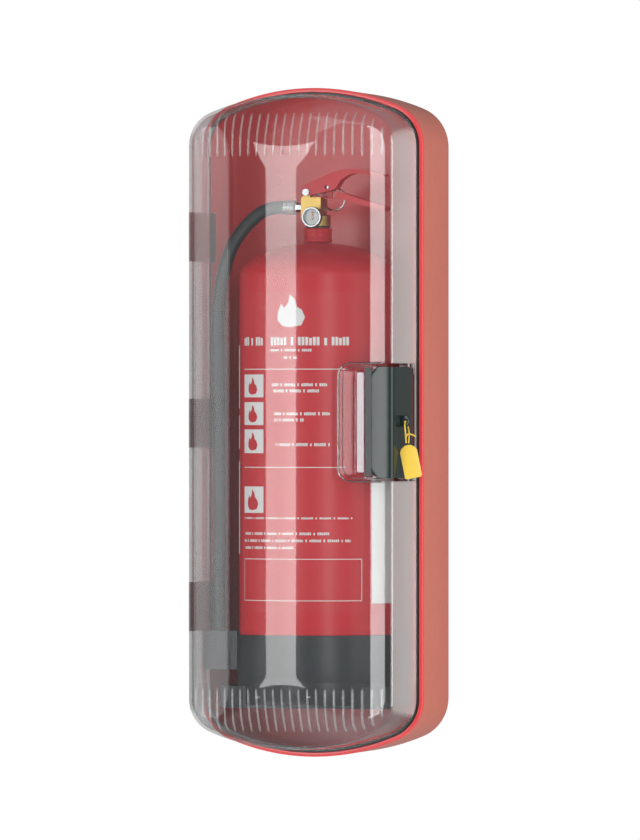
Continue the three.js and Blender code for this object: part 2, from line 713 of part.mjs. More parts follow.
function bottleProfile(offset) {
  const radius = bottleRadius - offset;
  const opening = neckSpigot + touchGap;
  const bottom = bottomZ + offset;
  const topHeight = shoulderTop - shoulderStart - offset;
  const profile = [];
  for (let i = 0; i <= 5; i++) {
    const angle = Math.PI / 2 * i / 5;
    profile.push([radius * Math.sin(angle), bottom + (36 - offset) * (1 - Math.cos(angle))]);
  }
  if (!offset) {
    profile.push([radius, weldSeamZ - weldSeamHeight / 2],
      [radius - 0.7, weldSeamZ - weldSeamHeight / 2 + 0.8],
      [radius - 0.7, weldSeamZ + weldSeamHeight / 2 - 0.8], [radius, weldSeamZ + weldSeamHeight / 2]);
  }
  const last = Math.acos(opening / radius);
  for (let i = 0; i <= 6; i++) {
    const angle = last * i / 6;
    profile.push([radius * Math.cos(angle), shoulderStart + topHeight * Math.sin(angle)]);
  }
  return profile;
}
add('cylinder', turned([...bottleProfile(0), ...bottleProfile(bottleWall).reverse()],
  bottleSides), 'redPaint', extinguisher);

const skirtInner = bottleRadius + touchGap;
add('base_skirt', turned([
  [30, bottleFloor], [skirtRadius - 2, bottleFloor], [skirtRadius, bottleFloor + 2],
  [skirtRadius, skirtTop - 1], [skirtRadius - 1, skirtTop], [skirtInner, skirtTop],
  [skirtInner, bottomZ + 30], [74, bottomZ + 6.5], [50, bottomZ - touchGap + 0.2],
  [30, bottomZ - touchGap], [30, bottleFloor]], bottleSides), 'blackPlastic', extinguisher);

add('neck_ring', turned([
  [neckBore, shoulderTop - 6], [neckSpigot, shoulderTop - 6], [neckSpigot, shoulderTop + touchGap],
  [neckRadius, shoulderTop + touchGap + 0.6], [neckRadius, neckTop - 1], [neckRadius - 1, neckTop],
  [neckBore, neckTop], [neckBore, shoulderTop - 6]], 28), 'redPaint', extinguisher);

const washerInner = stemRadius + touchGap;
add('neck_washer', turned([
  [washerInner, neckTop + touchGap], [collarRadius - 1, neckTop + touchGap],
  [collarRadius - 1, neckTop + touchGap + washerHeight], [washerInner, neckTop + touchGap + washerHeight],
  [washerInner, neckTop + touchGap]], 28), 'blackRubber', extinguisher);

// brass body: threaded stem, collar and block, with a chamber below and ports left and in front
const stemBottom = 196;
function valveBody() {
  const collarBottom = neckTop + 2 * touchGap + washerHeight;
  const turnedPart = turned([[0, stemBottom], [stemRadius - 0.6, stemBottom],
    [stemRadius, stemBottom + 1], [stemRadius, collarBottom], [collarRadius, collarBottom],
    [collarRadius, collarTop - 1], [collarRadius - 1, collarTop], [0, collarTop]], 28);
  const body = block(blockLeft, blockRight, -blockHalfDepth, blockHalfDepth, collarTop - 4, blockTop);
  const lugLow = pivotX - pivotLugWidth / 2;
  const lug = block(lugLow, lugLow + pivotLugWidth - 1, -pivotLugHalf, pivotLugHalf,
    blockTop - 1, pivotZ + 4.4);
  const chamber = rodZ(chamberRadius, stemBottom - 1, chamberTop, 0, 0, 16);
  const guide = rodZ(spindleRadius + runningGap, stemBottom, blockTop + 1, 0, 0, 16);
  const outlet = rodX(portRadius, blockLeft - 1, 0, 0, portZ, 12);
  const tapping = rodY(2, -blockHalfDepth - 5, 0, gaugeX, gaugeZ, 12);
  const pivot = rodY(pivotRadius + runningGap, -9, 9, pivotX, pivotZ, 16);
  const gaugeFlat = block(gaugeX - 5, gaugeX + 5, -20, -blockHalfDepth, gaugeZ - 5.2, gaugeZ + 5.2);
  return cut(join(turnedPart, body, lug), gaugeFlat, chamber, guide, outlet, tapping, pivot);
}
add('valve_body', valveBody(), 'brass', extinguisher);

// spindle with its seal, held shut by the spring below it
const headTop = chamberTop - touchGap;
const spindle = join(rodZ(spindleRadius, headTop - 4, spindleTop, 0, 0, 16),
  rodZ(sealHeadRadius, headTop - 4, headTop, 0, 0, 16));
add('valve_spindle', spindle, 'steel', extinguisher);

const springLow = stemBottom + 5;
add('valve_spring', tubeAlong(helix(springRadius, springLow + springWire + touchGap,
  headTop - 4 - springWire - touchGap, springTurns, 0, 0, 8), springWire, 4, 48), 'steel', extinguisher);

const tubeRadius = 5.8;
const tubeClearance = 22;      // of the dip tube above the bottom
const tubeBottom = bottomZ + tubeClearance;
add('dip_tube', turned([
  [4.2, tubeBottom], [tubeRadius, tubeBottom], [tubeRadius, springLow - touchGap],
  [2.4, springLow - touchGap], [2.4, springLow - touchGap - 2], [4.2, springLow - touchGap - 2],
  [4.2, tubeBottom]], 16), 'whitePlastic', extinguisher);
add('dip_strainer', turned([
  [tubeRadius + touchGap, tubeBottom - 8], [8, tubeBottom - 8], [8, tubeBottom + 14],
  [tubeRadius + touchGap, tubeBottom + 14], [tubeRadius + touchGap, tubeBottom - 8]], 16),
  'blackPlastic', extinguisher);

// carry handle: a root on top of the block, a channel that slopes down to the right, and a tab
// with the hole for the safety pin
const rootHalf = leverCheekInner - touchGap - 0.2;
const handleEnd = 84;
function carryHandle() {
  const low = blockTop + touchGap;
  const web = [
    [-6, low], [blockRight + 1, low], [blockRight + 4, low - 2.4], [32, low - 2.4],
    [50, low - 8], [handleEnd, low - 16.5], [handleEnd, low - 16.5 + sheet], [50, low - 8 + sheet],
    [32, low - 2.4 + sheet], [blockRight + 4, low - 2.4 + sheet], [blockRight + 1, low + sheet],
    [-6, low + sheet]];
  const cheek = [
    [24, low - 2.4], [32, low - 2.4], [50, low - 8], [handleEnd, low - 16.5], [handleEnd, low - 11],
    [52, low - 1.6], [40, low + 2.4], [30, low + 5.6], [25, low + 4]];
  const root = common(prismY(web, -rootHalf, rootHalf), block(-10, 26, -20, 20, 200, 300));
  const grip = common(prismY(web, -gripHalfWidth, gripHalfWidth), block(24, 100, -20, 20, 200, 300));
  const cheeks = [-1, 1].map((s) => prismY(cheek, Math.min(s * gripHalfWidth, s * (gripHalfWidth - sheet)),
    Math.max(s * gripHalfWidth, s * (gripHalfWidth - sheet))));
  const tab = block(safetyHoleX - 4, safetyHoleX + 4, 2, 2 + sheet, low - 1, safetyHoleZ + 4);
  const spindleHole = rodZ(spindleRadius + 0.8, 240, 280, 0, 0, 12);
  const pinHole = rodY(safetyPinRadius + runningGap, -9, 9, safetyHoleX, safetyHoleZ, 12);
  return cut(join(root, grip, ...cheeks, tab), spindleHole, pinHole);
}
add('carry_handle', carryHandle(), 'redPaint', extinguisher);

// operating lever: a channel open below, deep round the pivot and thin along the grip
const leverEnd = 82;
const leverTop = [[-16.5, 271], [2, 278.3], [16, 284], [30, 288.6], [44, 289.6], [60, 287.8],
  [leverEnd, 283]];
function operatingLever() {
  const under = [[leverEnd, 279], [60, 283], [46, 284.6], [37, 281.4], [29.5, 276.4], [25, 269],
    [21.9, 266.4], [8, 262.6], [-8, 259.6], [-16.9, 258.6]];
  const cheek = [...leverTop, ...under];
  const top = [...leverTop, ...leverTop.map(([x, z]) => [x, z - sheet]).reverse()];
  const outer = leverCheekInner + sheet;
  const cheeks = [-1, 1].map((s) => prismY(cheek, Math.min(s * outer, s * leverCheekInner),
    Math.max(s * outer, s * leverCheekInner)));
  const web = prismY(top, -outer, outer);
  const grip = common(prismY(top, -gripHalfWidth, gripHalfWidth), block(34, 90, -20, 20, 200, 300));
  const pivot = rodY(pivotRadius + runningGap, -20, 20, pivotX, pivotZ, 16);
  const nearHole = rodY(safetyPinRadius + 0.7, -20, 0, safetyHoleX, safetyHoleZ, 12);
  const slot = block(safetyHoleX - 4.4, safetyHoleX + 3.6, 0, 20, safetyHoleZ - 2.6, safetyHoleZ + 8.4);
  return cut(join(...cheeks, web, grip), pivot, nearHole, slot);
}
add('operating_lever', operatingLever(), 'redPaint', extinguisher);

const rivetHalf = leverCheekInner + sheet + touchGap;
add('lever_rivet', join(rodY(pivotRadius, -rivetHalf - 0.2, rivetHalf + 0.2, pivotX, pivotZ, 16),
  rodY(pivotRadius + 1.8, -rivetHalf - 1.6, -rivetHalf, pivotX, pivotZ, 16),
  rodY(pivotRadius + 1.8, rivetHalf, rivetHalf + 1.6, pivotX, pivotZ, 16)), 'steel', extinguisher);

// safety pin from behind, with a pull ring through its eye
const pinTail = -3;
const pinEye = 20;
function safetyPin() {
  const shank = rodY(safetyPinRadius, pinTail, pinEye - 2, safetyHoleX, safetyHoleZ, 12);
  const shoulder = rodY(safetyPinRadius + 2, 8.6, 10.6, safetyHoleX, safetyHoleZ, 12);
  const eye = block(safetyHoleX - 1.4, safetyHoleX + 1.4, pinEye - 4, pinEye + 4,
    safetyHoleZ - 4, safetyHoleZ + 4);
  const hole = rodX(2, safetyHoleX - 5, safetyHoleX + 5, pinEye, safetyHoleZ, 12);
  return cut(join(shank, shoulder, eye), hole);
}
add('safety_pin', safetyPin(), 'steel', extinguisher);

const ringRadius = 13;
function pullRing() {
  const profile = arc(ringRadius, 0, 1.1, 0, 2 * Math.PI, 6);
  const ring = new THREE.LatheGeometry(profile.map(([r, h]) => new THREE.Vector2(r, h)), 28);
  return ring.translate(safetyHoleX, pinEye, safetyHoleZ - ringRadius);
}
add('pin_ring', pullRing(), 'steel', extinguisher);

// pressure gauge in front of the block
const gaugeBack = -collarRadius - 0.8;
const gaugeFace = gaugeBack - gaugeDepth;
function gaugeCase() {
  const cup = rodY(gaugeRadius, gaugeFace, gaugeBack, gaugeX, gaugeZ, 28);
  const room = rodY(bezelOpening, gaugeFace - 1, gaugeBack - 2, gaugeX, gaugeZ, 28);
  const stem = rodY(1.7, gaugeBack - 1, -blockHalfDepth + 5, gaugeX, gaugeZ, 12);
  const hex = rodY(4.2, gaugeBack - 1, -blockHalfDepth - touchGap, gaugeX, gaugeZ, 6);
  return join(cut(cup, room), hex, stem);
}
add('gauge_case', gaugeCase(), 'steel', extinguisher);
const dialRadius = bezelOpening - touchGap;
const dialBack = gaugeBack - 2 - touchGap;
const dialPost = rodY(0.9, dialBack - 3.6, dialBack - 0.5, gaugeX, gaugeZ, 8);
add('gauge_dial', join(rodY(dialRadius, dialBack - 0.8, dialBack, gaugeX, gaugeZ, 28), dialPost),
  'whitePlastic', extinguisher);
const needleBack = dialBack - 1.4;
function gaugeNeedle() {
  const blade = prismY([[-1, -3], [1, -3], [0.4, 7], [-0.4, 7]], needleBack - 0.7, needleBack);
  const hub = rodY(1.9, needleBack - 0.7, needleBack, 0, 0, 12);
  const bore = rodY(0.9 + runningGap, needleBack - 2, needleBack + 1, 0, 0, 12);
  return cut(join(blade, hub), bore).translate(gaugeX, 0, gaugeZ);
}
add('gauge_needle', gaugeNeedle(), 'needleRed', extinguisher);
add('gauge_glass', rodY(dialRadius, gaugeFace + 0.4, gaugeFace + 1.8, gaugeX, gaugeZ, 28),
  'gaugeClear', extinguisher);

// hose from the left port down the bottle's side to its nozzle, in the cabinet's frame
const ferruleEnd = -41;
const ferruleStart = -27;
add('hose_adapter', cut(join(rodX(5.4, ferruleStart + touchGap, blockLeft - touchGap, 0, portZ, 6),
  rodX(portRadius - touchGap, blockLeft - 1, blockLeft + 6, 0, portZ, 12)),
  rodX(2, -40, 0, 0, portZ, 8)), 'steel', extinguisher);
add('hose_ferrule', cut(rodX(ferruleRadius, ferruleEnd, ferruleStart, 0, portZ, 20),
  rodX(3, ferruleEnd - 1, ferruleStart + 1, 0, portZ, 10)), 'steel', extinguisher);

const hoseX = -103;
const hoseFront = 27;          // of the hose's lower end, in front of the rim plane
const hoseY = rimY - hoseFront;
const hoseBottom = skirtTop + 6;
const hoseRoute = [
  [-33, -101, 245.9], [-42, -101, 245.9], [-57, -103.2, 241.6], [-76.4, -108, 225],
  [-89.3, -113, 205.5], [-97, -117, 184], [-102, -120.4, 160], [-104.2, -123, 134],
  [-104.6, -124.4, 104], [-104.2, -124.8, 72], [-103.8, -125, 30], [-103.4, -125, -20],
  [-103.2, -125, -70], [-103, -125, -120], [-103, -125, -170], [-103, -125, -210],
  [hoseX, hoseY, hoseBottom],
];
const hoseCurve = new THREE.CatmullRomCurve3(hoseRoute.map((p) => new THREE.Vector3(...p)));
add('discharge_hose', tubeAlong(hoseCurve, hoseRadius, 10, 36), 'blackRubber');

const nozzleTop = hoseBottom - touchGap;
const nozzleTip = nozzleTop - nozzleLength;
add('nozzle', turned([
  [3, nozzleTip], [5, nozzleTip], [6.4, nozzleTop - 14], [8.6, nozzleTop - 12], [8.6, nozzleTop],
  [5, nozzleTop], [3, nozzleTop - 12], [3, nozzleTip]], 16, hoseX, hoseY), 'blackPlastic');

// cup on the skirt that keeps the nozzle
function nozzleHolder() {
  const outer = 14;
  const low = nozzleTip - 6;
  const high = nozzleTop - 2;
  const body = block(hoseX - outer, hoseX + outer, hoseY - outer, hoseY + outer, low, high);
  const arm = block(hoseX + outer - 1, -40, hoseY - 8, hoseY + 12, low, high);
  const room = block(hoseX - outer + holderWall, hoseX + outer - holderWall,
    hoseY - outer + holderWall, hoseY + outer - holderWall, low + holderWall, high + 1);
  const bottle = rodZ(skirtRadius + touchGap, -400, 0, bottleX, bottleY, 64);
  return cut(join(body, arm), room, bottle);
}
add('nozzle_holder', nozzleHolder(), 'blackPlastic');

// printed labels: thin sheets bent round the bottle
function wrappedLabel(from, to, low, high) {
  const inner = bottleRadius + touchGap;
  const down = -Math.PI / 2;
  const start = down + THREE.MathUtils.degToRad(from);
  const end = down + THREE.MathUtils.degToRad(to);
  const steps = Math.round((to - from) / 4);
  return prismZ([...arc(0, 0, inner, start, end, steps), ...arc(0, 0, inner + 0.3, end, start, steps)],
    low, high);
}
add('front_label', wrappedLabel(-52, 46, -216, 148), 'redPaint', extinguisher);
add('side_label', wrappedLabel(62, 92, -206, -62), 'whitePlastic', extinguisher);

export default cabinetWithExtinguisher;
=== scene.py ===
import json
import math
import bmesh
import bpy
from mathutils import Matrix, Vector


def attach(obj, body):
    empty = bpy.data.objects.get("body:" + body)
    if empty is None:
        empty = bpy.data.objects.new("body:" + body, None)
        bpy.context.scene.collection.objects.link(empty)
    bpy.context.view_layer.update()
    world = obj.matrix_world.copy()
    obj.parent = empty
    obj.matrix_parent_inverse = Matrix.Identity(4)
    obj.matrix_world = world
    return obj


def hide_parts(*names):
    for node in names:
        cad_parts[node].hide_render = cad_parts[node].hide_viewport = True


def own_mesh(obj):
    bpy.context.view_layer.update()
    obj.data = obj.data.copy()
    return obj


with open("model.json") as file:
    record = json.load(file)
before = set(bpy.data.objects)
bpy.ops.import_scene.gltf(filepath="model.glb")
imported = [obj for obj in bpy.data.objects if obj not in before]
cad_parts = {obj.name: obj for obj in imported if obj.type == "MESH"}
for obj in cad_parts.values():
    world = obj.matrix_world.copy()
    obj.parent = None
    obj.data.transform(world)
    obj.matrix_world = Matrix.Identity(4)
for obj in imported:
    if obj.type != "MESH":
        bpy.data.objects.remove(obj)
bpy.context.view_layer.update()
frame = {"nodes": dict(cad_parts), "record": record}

mm = 0.001
print("frame loaded:", len(frame["nodes"]), "nodes")


# camera and light

view = {
    "azimuth": 19.5,            # degrees to the right of straight on
    "lens": 450,                # long, so that edges stay parallel
    "fieldHeight": 0.9605,      # metres seen from top to bottom
    "aim": (0.0097, -0.098, 0.0027),
}


def makeCamera():
    data = bpy.data.cameras.new("viewCamera")
    data.lens = view["lens"]
    data.sensor_fit = "VERTICAL"
    data.sensor_height = 36
    data.clip_end = 60
    camera = bpy.data.objects.new("viewCamera", data)
    bpy.context.scene.collection.objects.link(camera)
    turn = math.radians(view["azimuth"])
    away = view["fieldHeight"] / data.sensor_height * view["lens"]
    towards = Vector((math.sin(turn), -math.cos(turn), 0))
    camera.location = Vector(view["aim"]) + towards * away
    camera.rotation_euler = (-towards).to_track_quat("-Z", "Y").to_euler()
    bpy.context.scene.camera = camera


# azimuth and height in degrees and metres, size across and up, in watts
softBoxes = {
    "keyLeft": dict(azimuth=-19, height=0.05, size=(0.5, 1.5), power=13, distance=1.7),
    "keyRight": dict(azimuth=34, height=0.05, size=(0.32, 1.5), power=11, distance=1.7),
    "leftVeil": dict(azimuth=-62, height=0.0, size=(0.75, 1.5), power=8, distance=1.7),
    "sideFill": dict(azimuth=88, height=0.1, size=(0.9, 1.6), power=15.5, distance=1.6),
    "topFill": dict(azimuth=8, height=1.5, size=(1.4, 0.8), power=5, distance=1.2),
}


room = {"backdrop": 1.0, "fill": 0.27}


def makeLights():
    for name, box in softBoxes.items():
        data = bpy.data.lights.new(name, "AREA")
        data.shape = "RECTANGLE"
        data.size, data.size_y = box["size"]
        data.energy = box["power"]
        light = bpy.data.objects.new(name, data)
        bpy.context.scene.collection.objects.link(light)
        turn = math.radians(box["azimuth"])
        out = Vector((math.sin(turn), -math.cos(turn), 0)) * box["distance"]
        light.location = Vector(view["aim"]) + out + Vector((0, 0, box["height"]))
        light.rotation_euler = (Vector(view["aim"]) - light.location).to_track_quat("-Z", "Y").to_euler()
        light.visible_camera = False
    world = bpy.data.worlds.new("studio")
    bpy.context.scene.world = world
    world.use_nodes = True
    background = world.node_tree.nodes["Background"]
    background.inputs["Color"].default_value = (1, 1, 1, 1)
    rays = world.node_tree.nodes.new("ShaderNodeLightPath")
    amount = world.node_tree.nodes.new("ShaderNodeMapRange")
    amount.inputs["To Min"].default_value = room["fill"]
    amount.inputs["To Max"].default_value = room["backdrop"]
    world.node_tree.links.new(rays.outputs["Is Camera Ray"], amount.inputs["Value"])
    world.node_tree.links.new(amount.outputs[0], background.inputs["Strength"])
    bpy.context.scene.view_settings.view_transform = "Standard"


def makeFloor():
    bm = bmesh.new()
    bmesh.ops.create_grid(bm, x_segments=1, y_segments=1, size=6,
                          matrix=Matrix.Translation((0, 0, -0.9)))
    mesh = bpy.data.meshes.new("paleFloor")
    bm.to_mesh(mesh)
    bm.free()
    floor = bpy.data.objects.new("paleFloor", mesh)
    bpy.context.scene.collection.objects.link(floor)
    material = bpy.data.materials.new("paleFloor")
    material.use_nodes = True
    shader = material.node_tree.nodes["Principled BSDF"]
    shader.inputs["Base Color"].default_value = (0.9, 0.9, 0.89, 1)
    shader.inputs["Roughness"].default_value = 0.8
    mesh.materials.append(material)


makeCamera()
makeLights()
makeFloor()
print("camera, lights and floor ready")


# shader maths

class Sock:
    # wraps an output socket, so that sums of sockets read as sums
    def __init__(self, shop, socket):
        self.shop = shop
        self.socket = socket

    def _math(self, operation, other, swapped=False):
        first, second = (other, self) if swapped else (self, other)
        return self.shop.node("Math", {"operation": operation}, {0: first, 1: second})

    def __add__(self, other):
        return self._math("ADD", other)

    def __sub__(self, other):
        return self._math("SUBTRACT", other)

    def __mul__(self, other):
        return self._math("MULTIPLY", other)

    def __radd__(self, other):
        return self._math("ADD", other)

    def __rsub__(self, other):
        return self._math("SUBTRACT", other, swapped=True)

    def __rmul__(self, other):
        return self._math("MULTIPLY", other)


class Shop:
    # a material and its node tree
    def __init__(self, name):
        self.material = bpy.data.materials.new(name)
        self.material.use_nodes = True
        self.tree = self.material.node_tree
        self.shader = self.tree.nodes["Principled BSDF"]
        self.out = self.tree.nodes["Material Output"]

    def put(self, socket, value):
        if isinstance(value, Sock):
            self.tree.links.new(value.socket, socket)
        else:
            socket.default_value = value

    def node(self, kind, settings=None, values=None, output=0):
        made = self.tree.nodes.new("ShaderNode" + kind)
        for key, value in (settings or {}).items():
            setattr(made, key, value)
        for key, value in (values or {}).items():
            self.put(made.inputs[key], value)
        return Sock(self, made.outputs[output])

    def set(self, values):
        for key, value in values.items():
            self.put(self.shader.inputs[key], value)

    def place(self):
        return self.node("TexCoord", output=3)

    def noise(self, scale, detail=3, rough=0.5, stretch=(1, 1, 1)):
        at = self.node("Mapping", {}, {"Vector": self.place(), "Scale": stretch})
        return self.node("TexNoise", {}, {"Vector": at, "Scale": scale, "Detail": detail,
                                          "Roughness": rough})

    def blend(self, mask, one, two):
        return self.node("Mix", {"data_type": "RGBA"}, {0: mask, 6: one, 7: two}, output=2)

    def bump(self, height, strength, distance):
        return self.node("Bump", {}, {"Strength": strength, "Distance": distance, "Height": height})


def colour(red, green, blue):
    return (red, green, blue, 1)


# materials

def fineTexture(shop, scale, strength=0.15, distance=0.0004, stretch=(1, 1, 1)):
    return shop.bump(shop.noise(scale, 4, 0.6, stretch), strength, distance)


def mottled(name, low, high, rough, scale=14, bumpScale=300, bumpStrength=0.12, fixed=None):
    # a colour that drifts between two close ones, with uneven gloss and a fine grain
    shop = Shop(name)
    drift = shop.noise(scale, 5, 0.6)
    shop.set({"Base Color": shop.blend(drift, low, high)})
    shop.set({"Roughness": shop.noise(scale * 6, 4, 0.6) * (rough[1] - rough[0]) + rough[0]})
    shop.set({"Normal": fineTexture(shop, bumpScale, bumpStrength), **(fixed or {})})
    return shop.material


def clearMaterial(name, rate):
    # thin clear plastic: see-through, with a milky film and a mirror-like coat; where |x| passes from
    # wallFrom to wallTo it turns paler and more opaque, a painted reflection of the white surroundings on
    # the door's side walls
    shop = Shop(name)
    film = shop.noise(rate["drift"], 4, 0.6)
    side = shop.node("SeparateXYZ", {}, {0: shop.place()})
    away = shop.node("Math", {"operation": "ABSOLUTE"}, {0: side})
    # wall masks the door's side walls; the paler tone and extra film there are painted reflection
    wall = shop.node("MapRange", {"interpolation_type": "SMOOTHSTEP"},
                     {0: away, 1: rate["wallFrom"], 2: rate["wallTo"], 3: 0.0, 4: 1.0})
    plain = shop.blend(film, rate["low"], rate["high"])
    shop.set({"Base Color": shop.blend(wall, plain, rate["wallReflectionTone"])})
    rough = shop.noise(60, 3, 0.5) * 0.03 + rate["roughness"]
    shop.set({"Roughness": rough,
              "Normal": fineTexture(shop, rate["waves"], rate["strength"], 0.0006)})
    shop.set({"IOR": 2.4, "Coat Weight": 1.0, "Coat IOR": 1.9})
    clear = shop.node("BsdfTransparent", {}, {"Color": rate["tint"]})
    facing = shop.node("LayerWeight", {}, {"Blend": 0.5}, output=1)
    thick = facing * facing * facing * rate["edge"] + rate["film"] + film * 0.03 + wall * rate["wallReflectionFilm"]
    mixed = shop.node("MixShader", {}, {0: thick, 1: clear, 2: Sock(shop, shop.shader.outputs[0])})
    shop.tree.links.new(mixed.socket, shop.out.inputs["Surface"])
    return shop.material


tones = {
    "salmon": (colour(0.60, 0.155, 0.105), colour(0.68, 0.19, 0.13)),
    "crimson": (colour(0.76, 0.06, 0.065), colour(0.84, 0.075, 0.08)),
    "paintRed": (colour(0.60, 0.010, 0.020), colour(0.68, 0.016, 0.028)),
    "black": (colour(0.013, 0.016, 0.018), colour(0.022, 0.026, 0.028)),
    "greenBlack": (colour(0.010, 0.020, 0.019), colour(0.018, 0.030, 0.028)),
    "rubber": (colour(0.010, 0.014, 0.016), colour(0.022, 0.028, 0.030)),
    "steel": (colour(0.34, 0.35, 0.36), colour(0.46, 0.47, 0.48)),
    "brass": (colour(0.40, 0.26, 0.07), colour(0.52, 0.35, 0.12)),
    "yellow": (colour(0.74, 0.50, 0.04), colour(0.82, 0.57, 0.07)),
    "white": (colour(0.74, 0.74, 0.72), colour(0.82, 0.82, 0.80)),
    "needle": (colour(0.60, 0.03, 0.02), colour(0.70, 0.05, 0.03)),
}

finishOf = {
    "shell": mottled("shellPlastic", *tones["salmon"], (0.34, 0.5), 9, 420, 0.07),
    # rim: a darker, deeper red copy of the shell plastic, painted shade for the shell's front lip, its
    # inside and the wall caps
    "rim": mottled("shadedShellPlastic", *tones["crimson"], (0.2, 0.3), 20, 420, 0.1),
    "paint": mottled("redPaint", *tones["paintRed"], (0.26, 0.36), 12, 220, 0.08,
                     fixed={"Specular IOR Level": 0.35}),
    "black": mottled("blackPlastic", *tones["black"], (0.28, 0.44), 24, 500, 0.2),
    "gloss": mottled("handleGloss", *tones["greenBlack"], (0.1, 0.18), 10, 120, 0.05,
                     fixed={"Specular IOR Level": 0.3}),
    "rubber": mottled("hoseRubber", *tones["rubber"], (0.3, 0.48), 40, 600, 0.25),
    "steel": mottled("platedSteel", *tones["steel"], (0.2, 0.36), 60, 500, 0.12,
                     fixed={"Metallic": 1.0}),
    "brass": mottled("valveBrass", *tones["brass"], (0.24, 0.4), 50, 400, 0.2,
                     fixed={"Metallic": 1.0}),
    "yellow": mottled("sealPlastic", *tones["yellow"], (0.3, 0.42), 60, 500, 0.15),
    "white": mottled("whitePlastic", *tones["white"], (0.4, 0.52), 30, 500, 0.15),
    "green": mottled("gaugeGreen", colour(0.02, 0.30, 0.06), colour(0.03, 0.38, 0.08), (0.4, 0.5)),
    "needle": mottled("needleRed", *tones["needle"], (0.4, 0.5), 60, 500, 0.1),
    "dome": clearMaterial("clearDome", dict(
        drift=6, low=colour(0.08, 0.085, 0.09), high=colour(0.13, 0.135, 0.14), roughness=0.02,
        waves=9, strength=0.05, edge=0.5, film=0.1, wallFrom=0.1195, wallTo=0.1238,
        wallReflectionTone=colour(0.72, 0.66, 0.64), wallReflectionFilm=0.34, tint=colour(0.97, 0.98, 0.98))),
    "lens": clearMaterial("gaugeClear", dict(
        drift=40, low=colour(0.86, 0.88, 0.88), high=colour(0.92, 0.93, 0.93), roughness=0.03,
        waves=60, strength=0.03, edge=0.6, film=0.08, wallFrom=8.0, wallTo=9.0,
        wallReflectionTone=colour(0.9, 0.9, 0.9), wallReflectionFilm=0.0, tint=colour(0.98, 0.99, 0.99))),
}
print("materials ready:", len(finishOf))


# making pieces

def finished(name, bm, materials, body, replaced=(), sharp=35, merge=1e-6):
    if merge:
        bmesh.ops.remove_doubles(bm, verts=bm.verts, dist=merge)
    bmesh.ops.recalc_face_normals(bm, faces=bm.faces)
    mesh = bpy.data.meshes.new(name)
    bm.to_mesh(mesh)
    bm.free()
    made = bpy.data.objects.new(name, mesh)
    bpy.context.scene.collection.objects.link(made)
    for material in materials if isinstance(materials, (list, tuple)) else [materials]:
        mesh.materials.append(material)
    mesh.shade_smooth()
    mesh.set_sharp_from_angle(angle=math.radians(sharp))
    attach(made, body)
    if replaced:
        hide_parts(*replaced)
    return made


def modified(made, kind, **settings):
    # applies one modifier at once, so that the piece is a plain mesh
    step = made.modifiers.new(kind.lower(), kind)
    for key, value in settings.items():
        setattr(step, key, value)
    bpy.context.view_layer.update()
    graph = bpy.context.evaluated_depsgraph_get()
    mesh = bpy.data.meshes.new_from_object(made.evaluated_get(graph))
    made.modifiers.clear()
    made.data = mesh
    return made


def softened(made, width, segments, limit=0.9):
    # rounds every edge sharper than the limit, in radians
    return modified(made, "BEVEL", width=width * mm, segments=segments, limit_method="ANGLE",
                    angle_limit=limit, material=-1)


def turnedPiece(name, profile, centre, material, body, replaced=(), axis="Z", sharp=35,
                steps=96):
    # profile holds (radius, height) in millimetres, turned about an axis through centre
    bm = bmesh.new()
    verts = [bm.verts.new((r * mm, 0, h * mm)) for r, h in profile]
    edges = [bm.edges.new(pair) for pair in zip(verts, verts[1:])]
    bmesh.ops.spin(bm, geom=verts + edges, cent=(0, 0, 0), axis=(0, 0, 1), angle=math.tau,
                   steps=steps, use_merge=True)
    bmesh.ops.remove_doubles(bm, verts=bm.verts, dist=1e-6)
    turn = {"Z": Matrix(), "X": Matrix.Rotation(math.pi / 2, 4, "Y"),
            "Y": Matrix.Rotation(-math.pi / 2, 4, "X")}[axis]
    bmesh.ops.transform(bm, matrix=Matrix.Translation(Vector(centre) * mm) @ turn, verts=bm.verts)
    return finished(name, bm, material, body, replaced, sharp)


def addBlock(bm, low, high):
    low, high = Vector(low), Vector(high)
    bmesh.ops.create_cube(bm, size=1, matrix=Matrix.Translation((low + high) / 2 * mm)
                          @ Matrix.Diagonal((*((high - low) * mm), 1)))


def addRod(bm, start, end, radius, segments=24):
    start, end = Vector(start), Vector(end)
    along = end - start
    bmesh.ops.create_cone(bm, cap_ends=True, segments=segments, radius1=radius * mm,
                          radius2=radius * mm, depth=along.length * mm,
                          matrix=Matrix.Translation((start + end) / 2 * mm)
                          @ along.to_track_quat("Z", "Y").to_matrix().to_4x4())


def arcPoints(centreX, centreY, radius, start, end, count):
    return [(centreX + radius * math.cos(start + (end - start) * i / count),
             centreY + radius * math.sin(start + (end - start) * i / count))
            for i in range(count + 1)]


# cabinet shell

cabinet = {
    "halfWidth": 134, "archRadius": 270, "archCentre": 112.5, "cornerRadius": 50,
    "rim": -98, "wall": 3, "lip": 5, "lipDepth": 8, "holeRadius": 3.5,
    "holes": [(-75, 280), (75, 280), (-75, -280), (75, -280)],
}


def archedLoop(inset, cornerSteps=10, archSteps=30, sideSteps=40):
    radius = cabinet["archRadius"] - inset
    corner = max(cabinet["cornerRadius"] - inset, 0)
    cornerX = cabinet["halfWidth"] - inset - corner
    cornerZ = cabinet["archCentre"] + math.sqrt((radius - corner) ** 2 - cornerX ** 2)
    lean = math.atan2(cornerZ - cabinet["archCentre"], cornerX)
    upper = (arcPoints(cornerX, cornerZ, corner, 0, lean, cornerSteps)
             + arcPoints(0, cabinet["archCentre"], radius, lean, math.pi - lean, archSteps)[1:-1]
             + arcPoints(-cornerX, cornerZ, corner, math.pi - lean, math.pi, cornerSteps))
    side = [(-(cornerX + corner), cornerZ * (1 - 2 * i / sideSteps)) for i in range(1, sideSteps)]
    half = upper + side
    return half + [(-x, -z) for x, z in half]


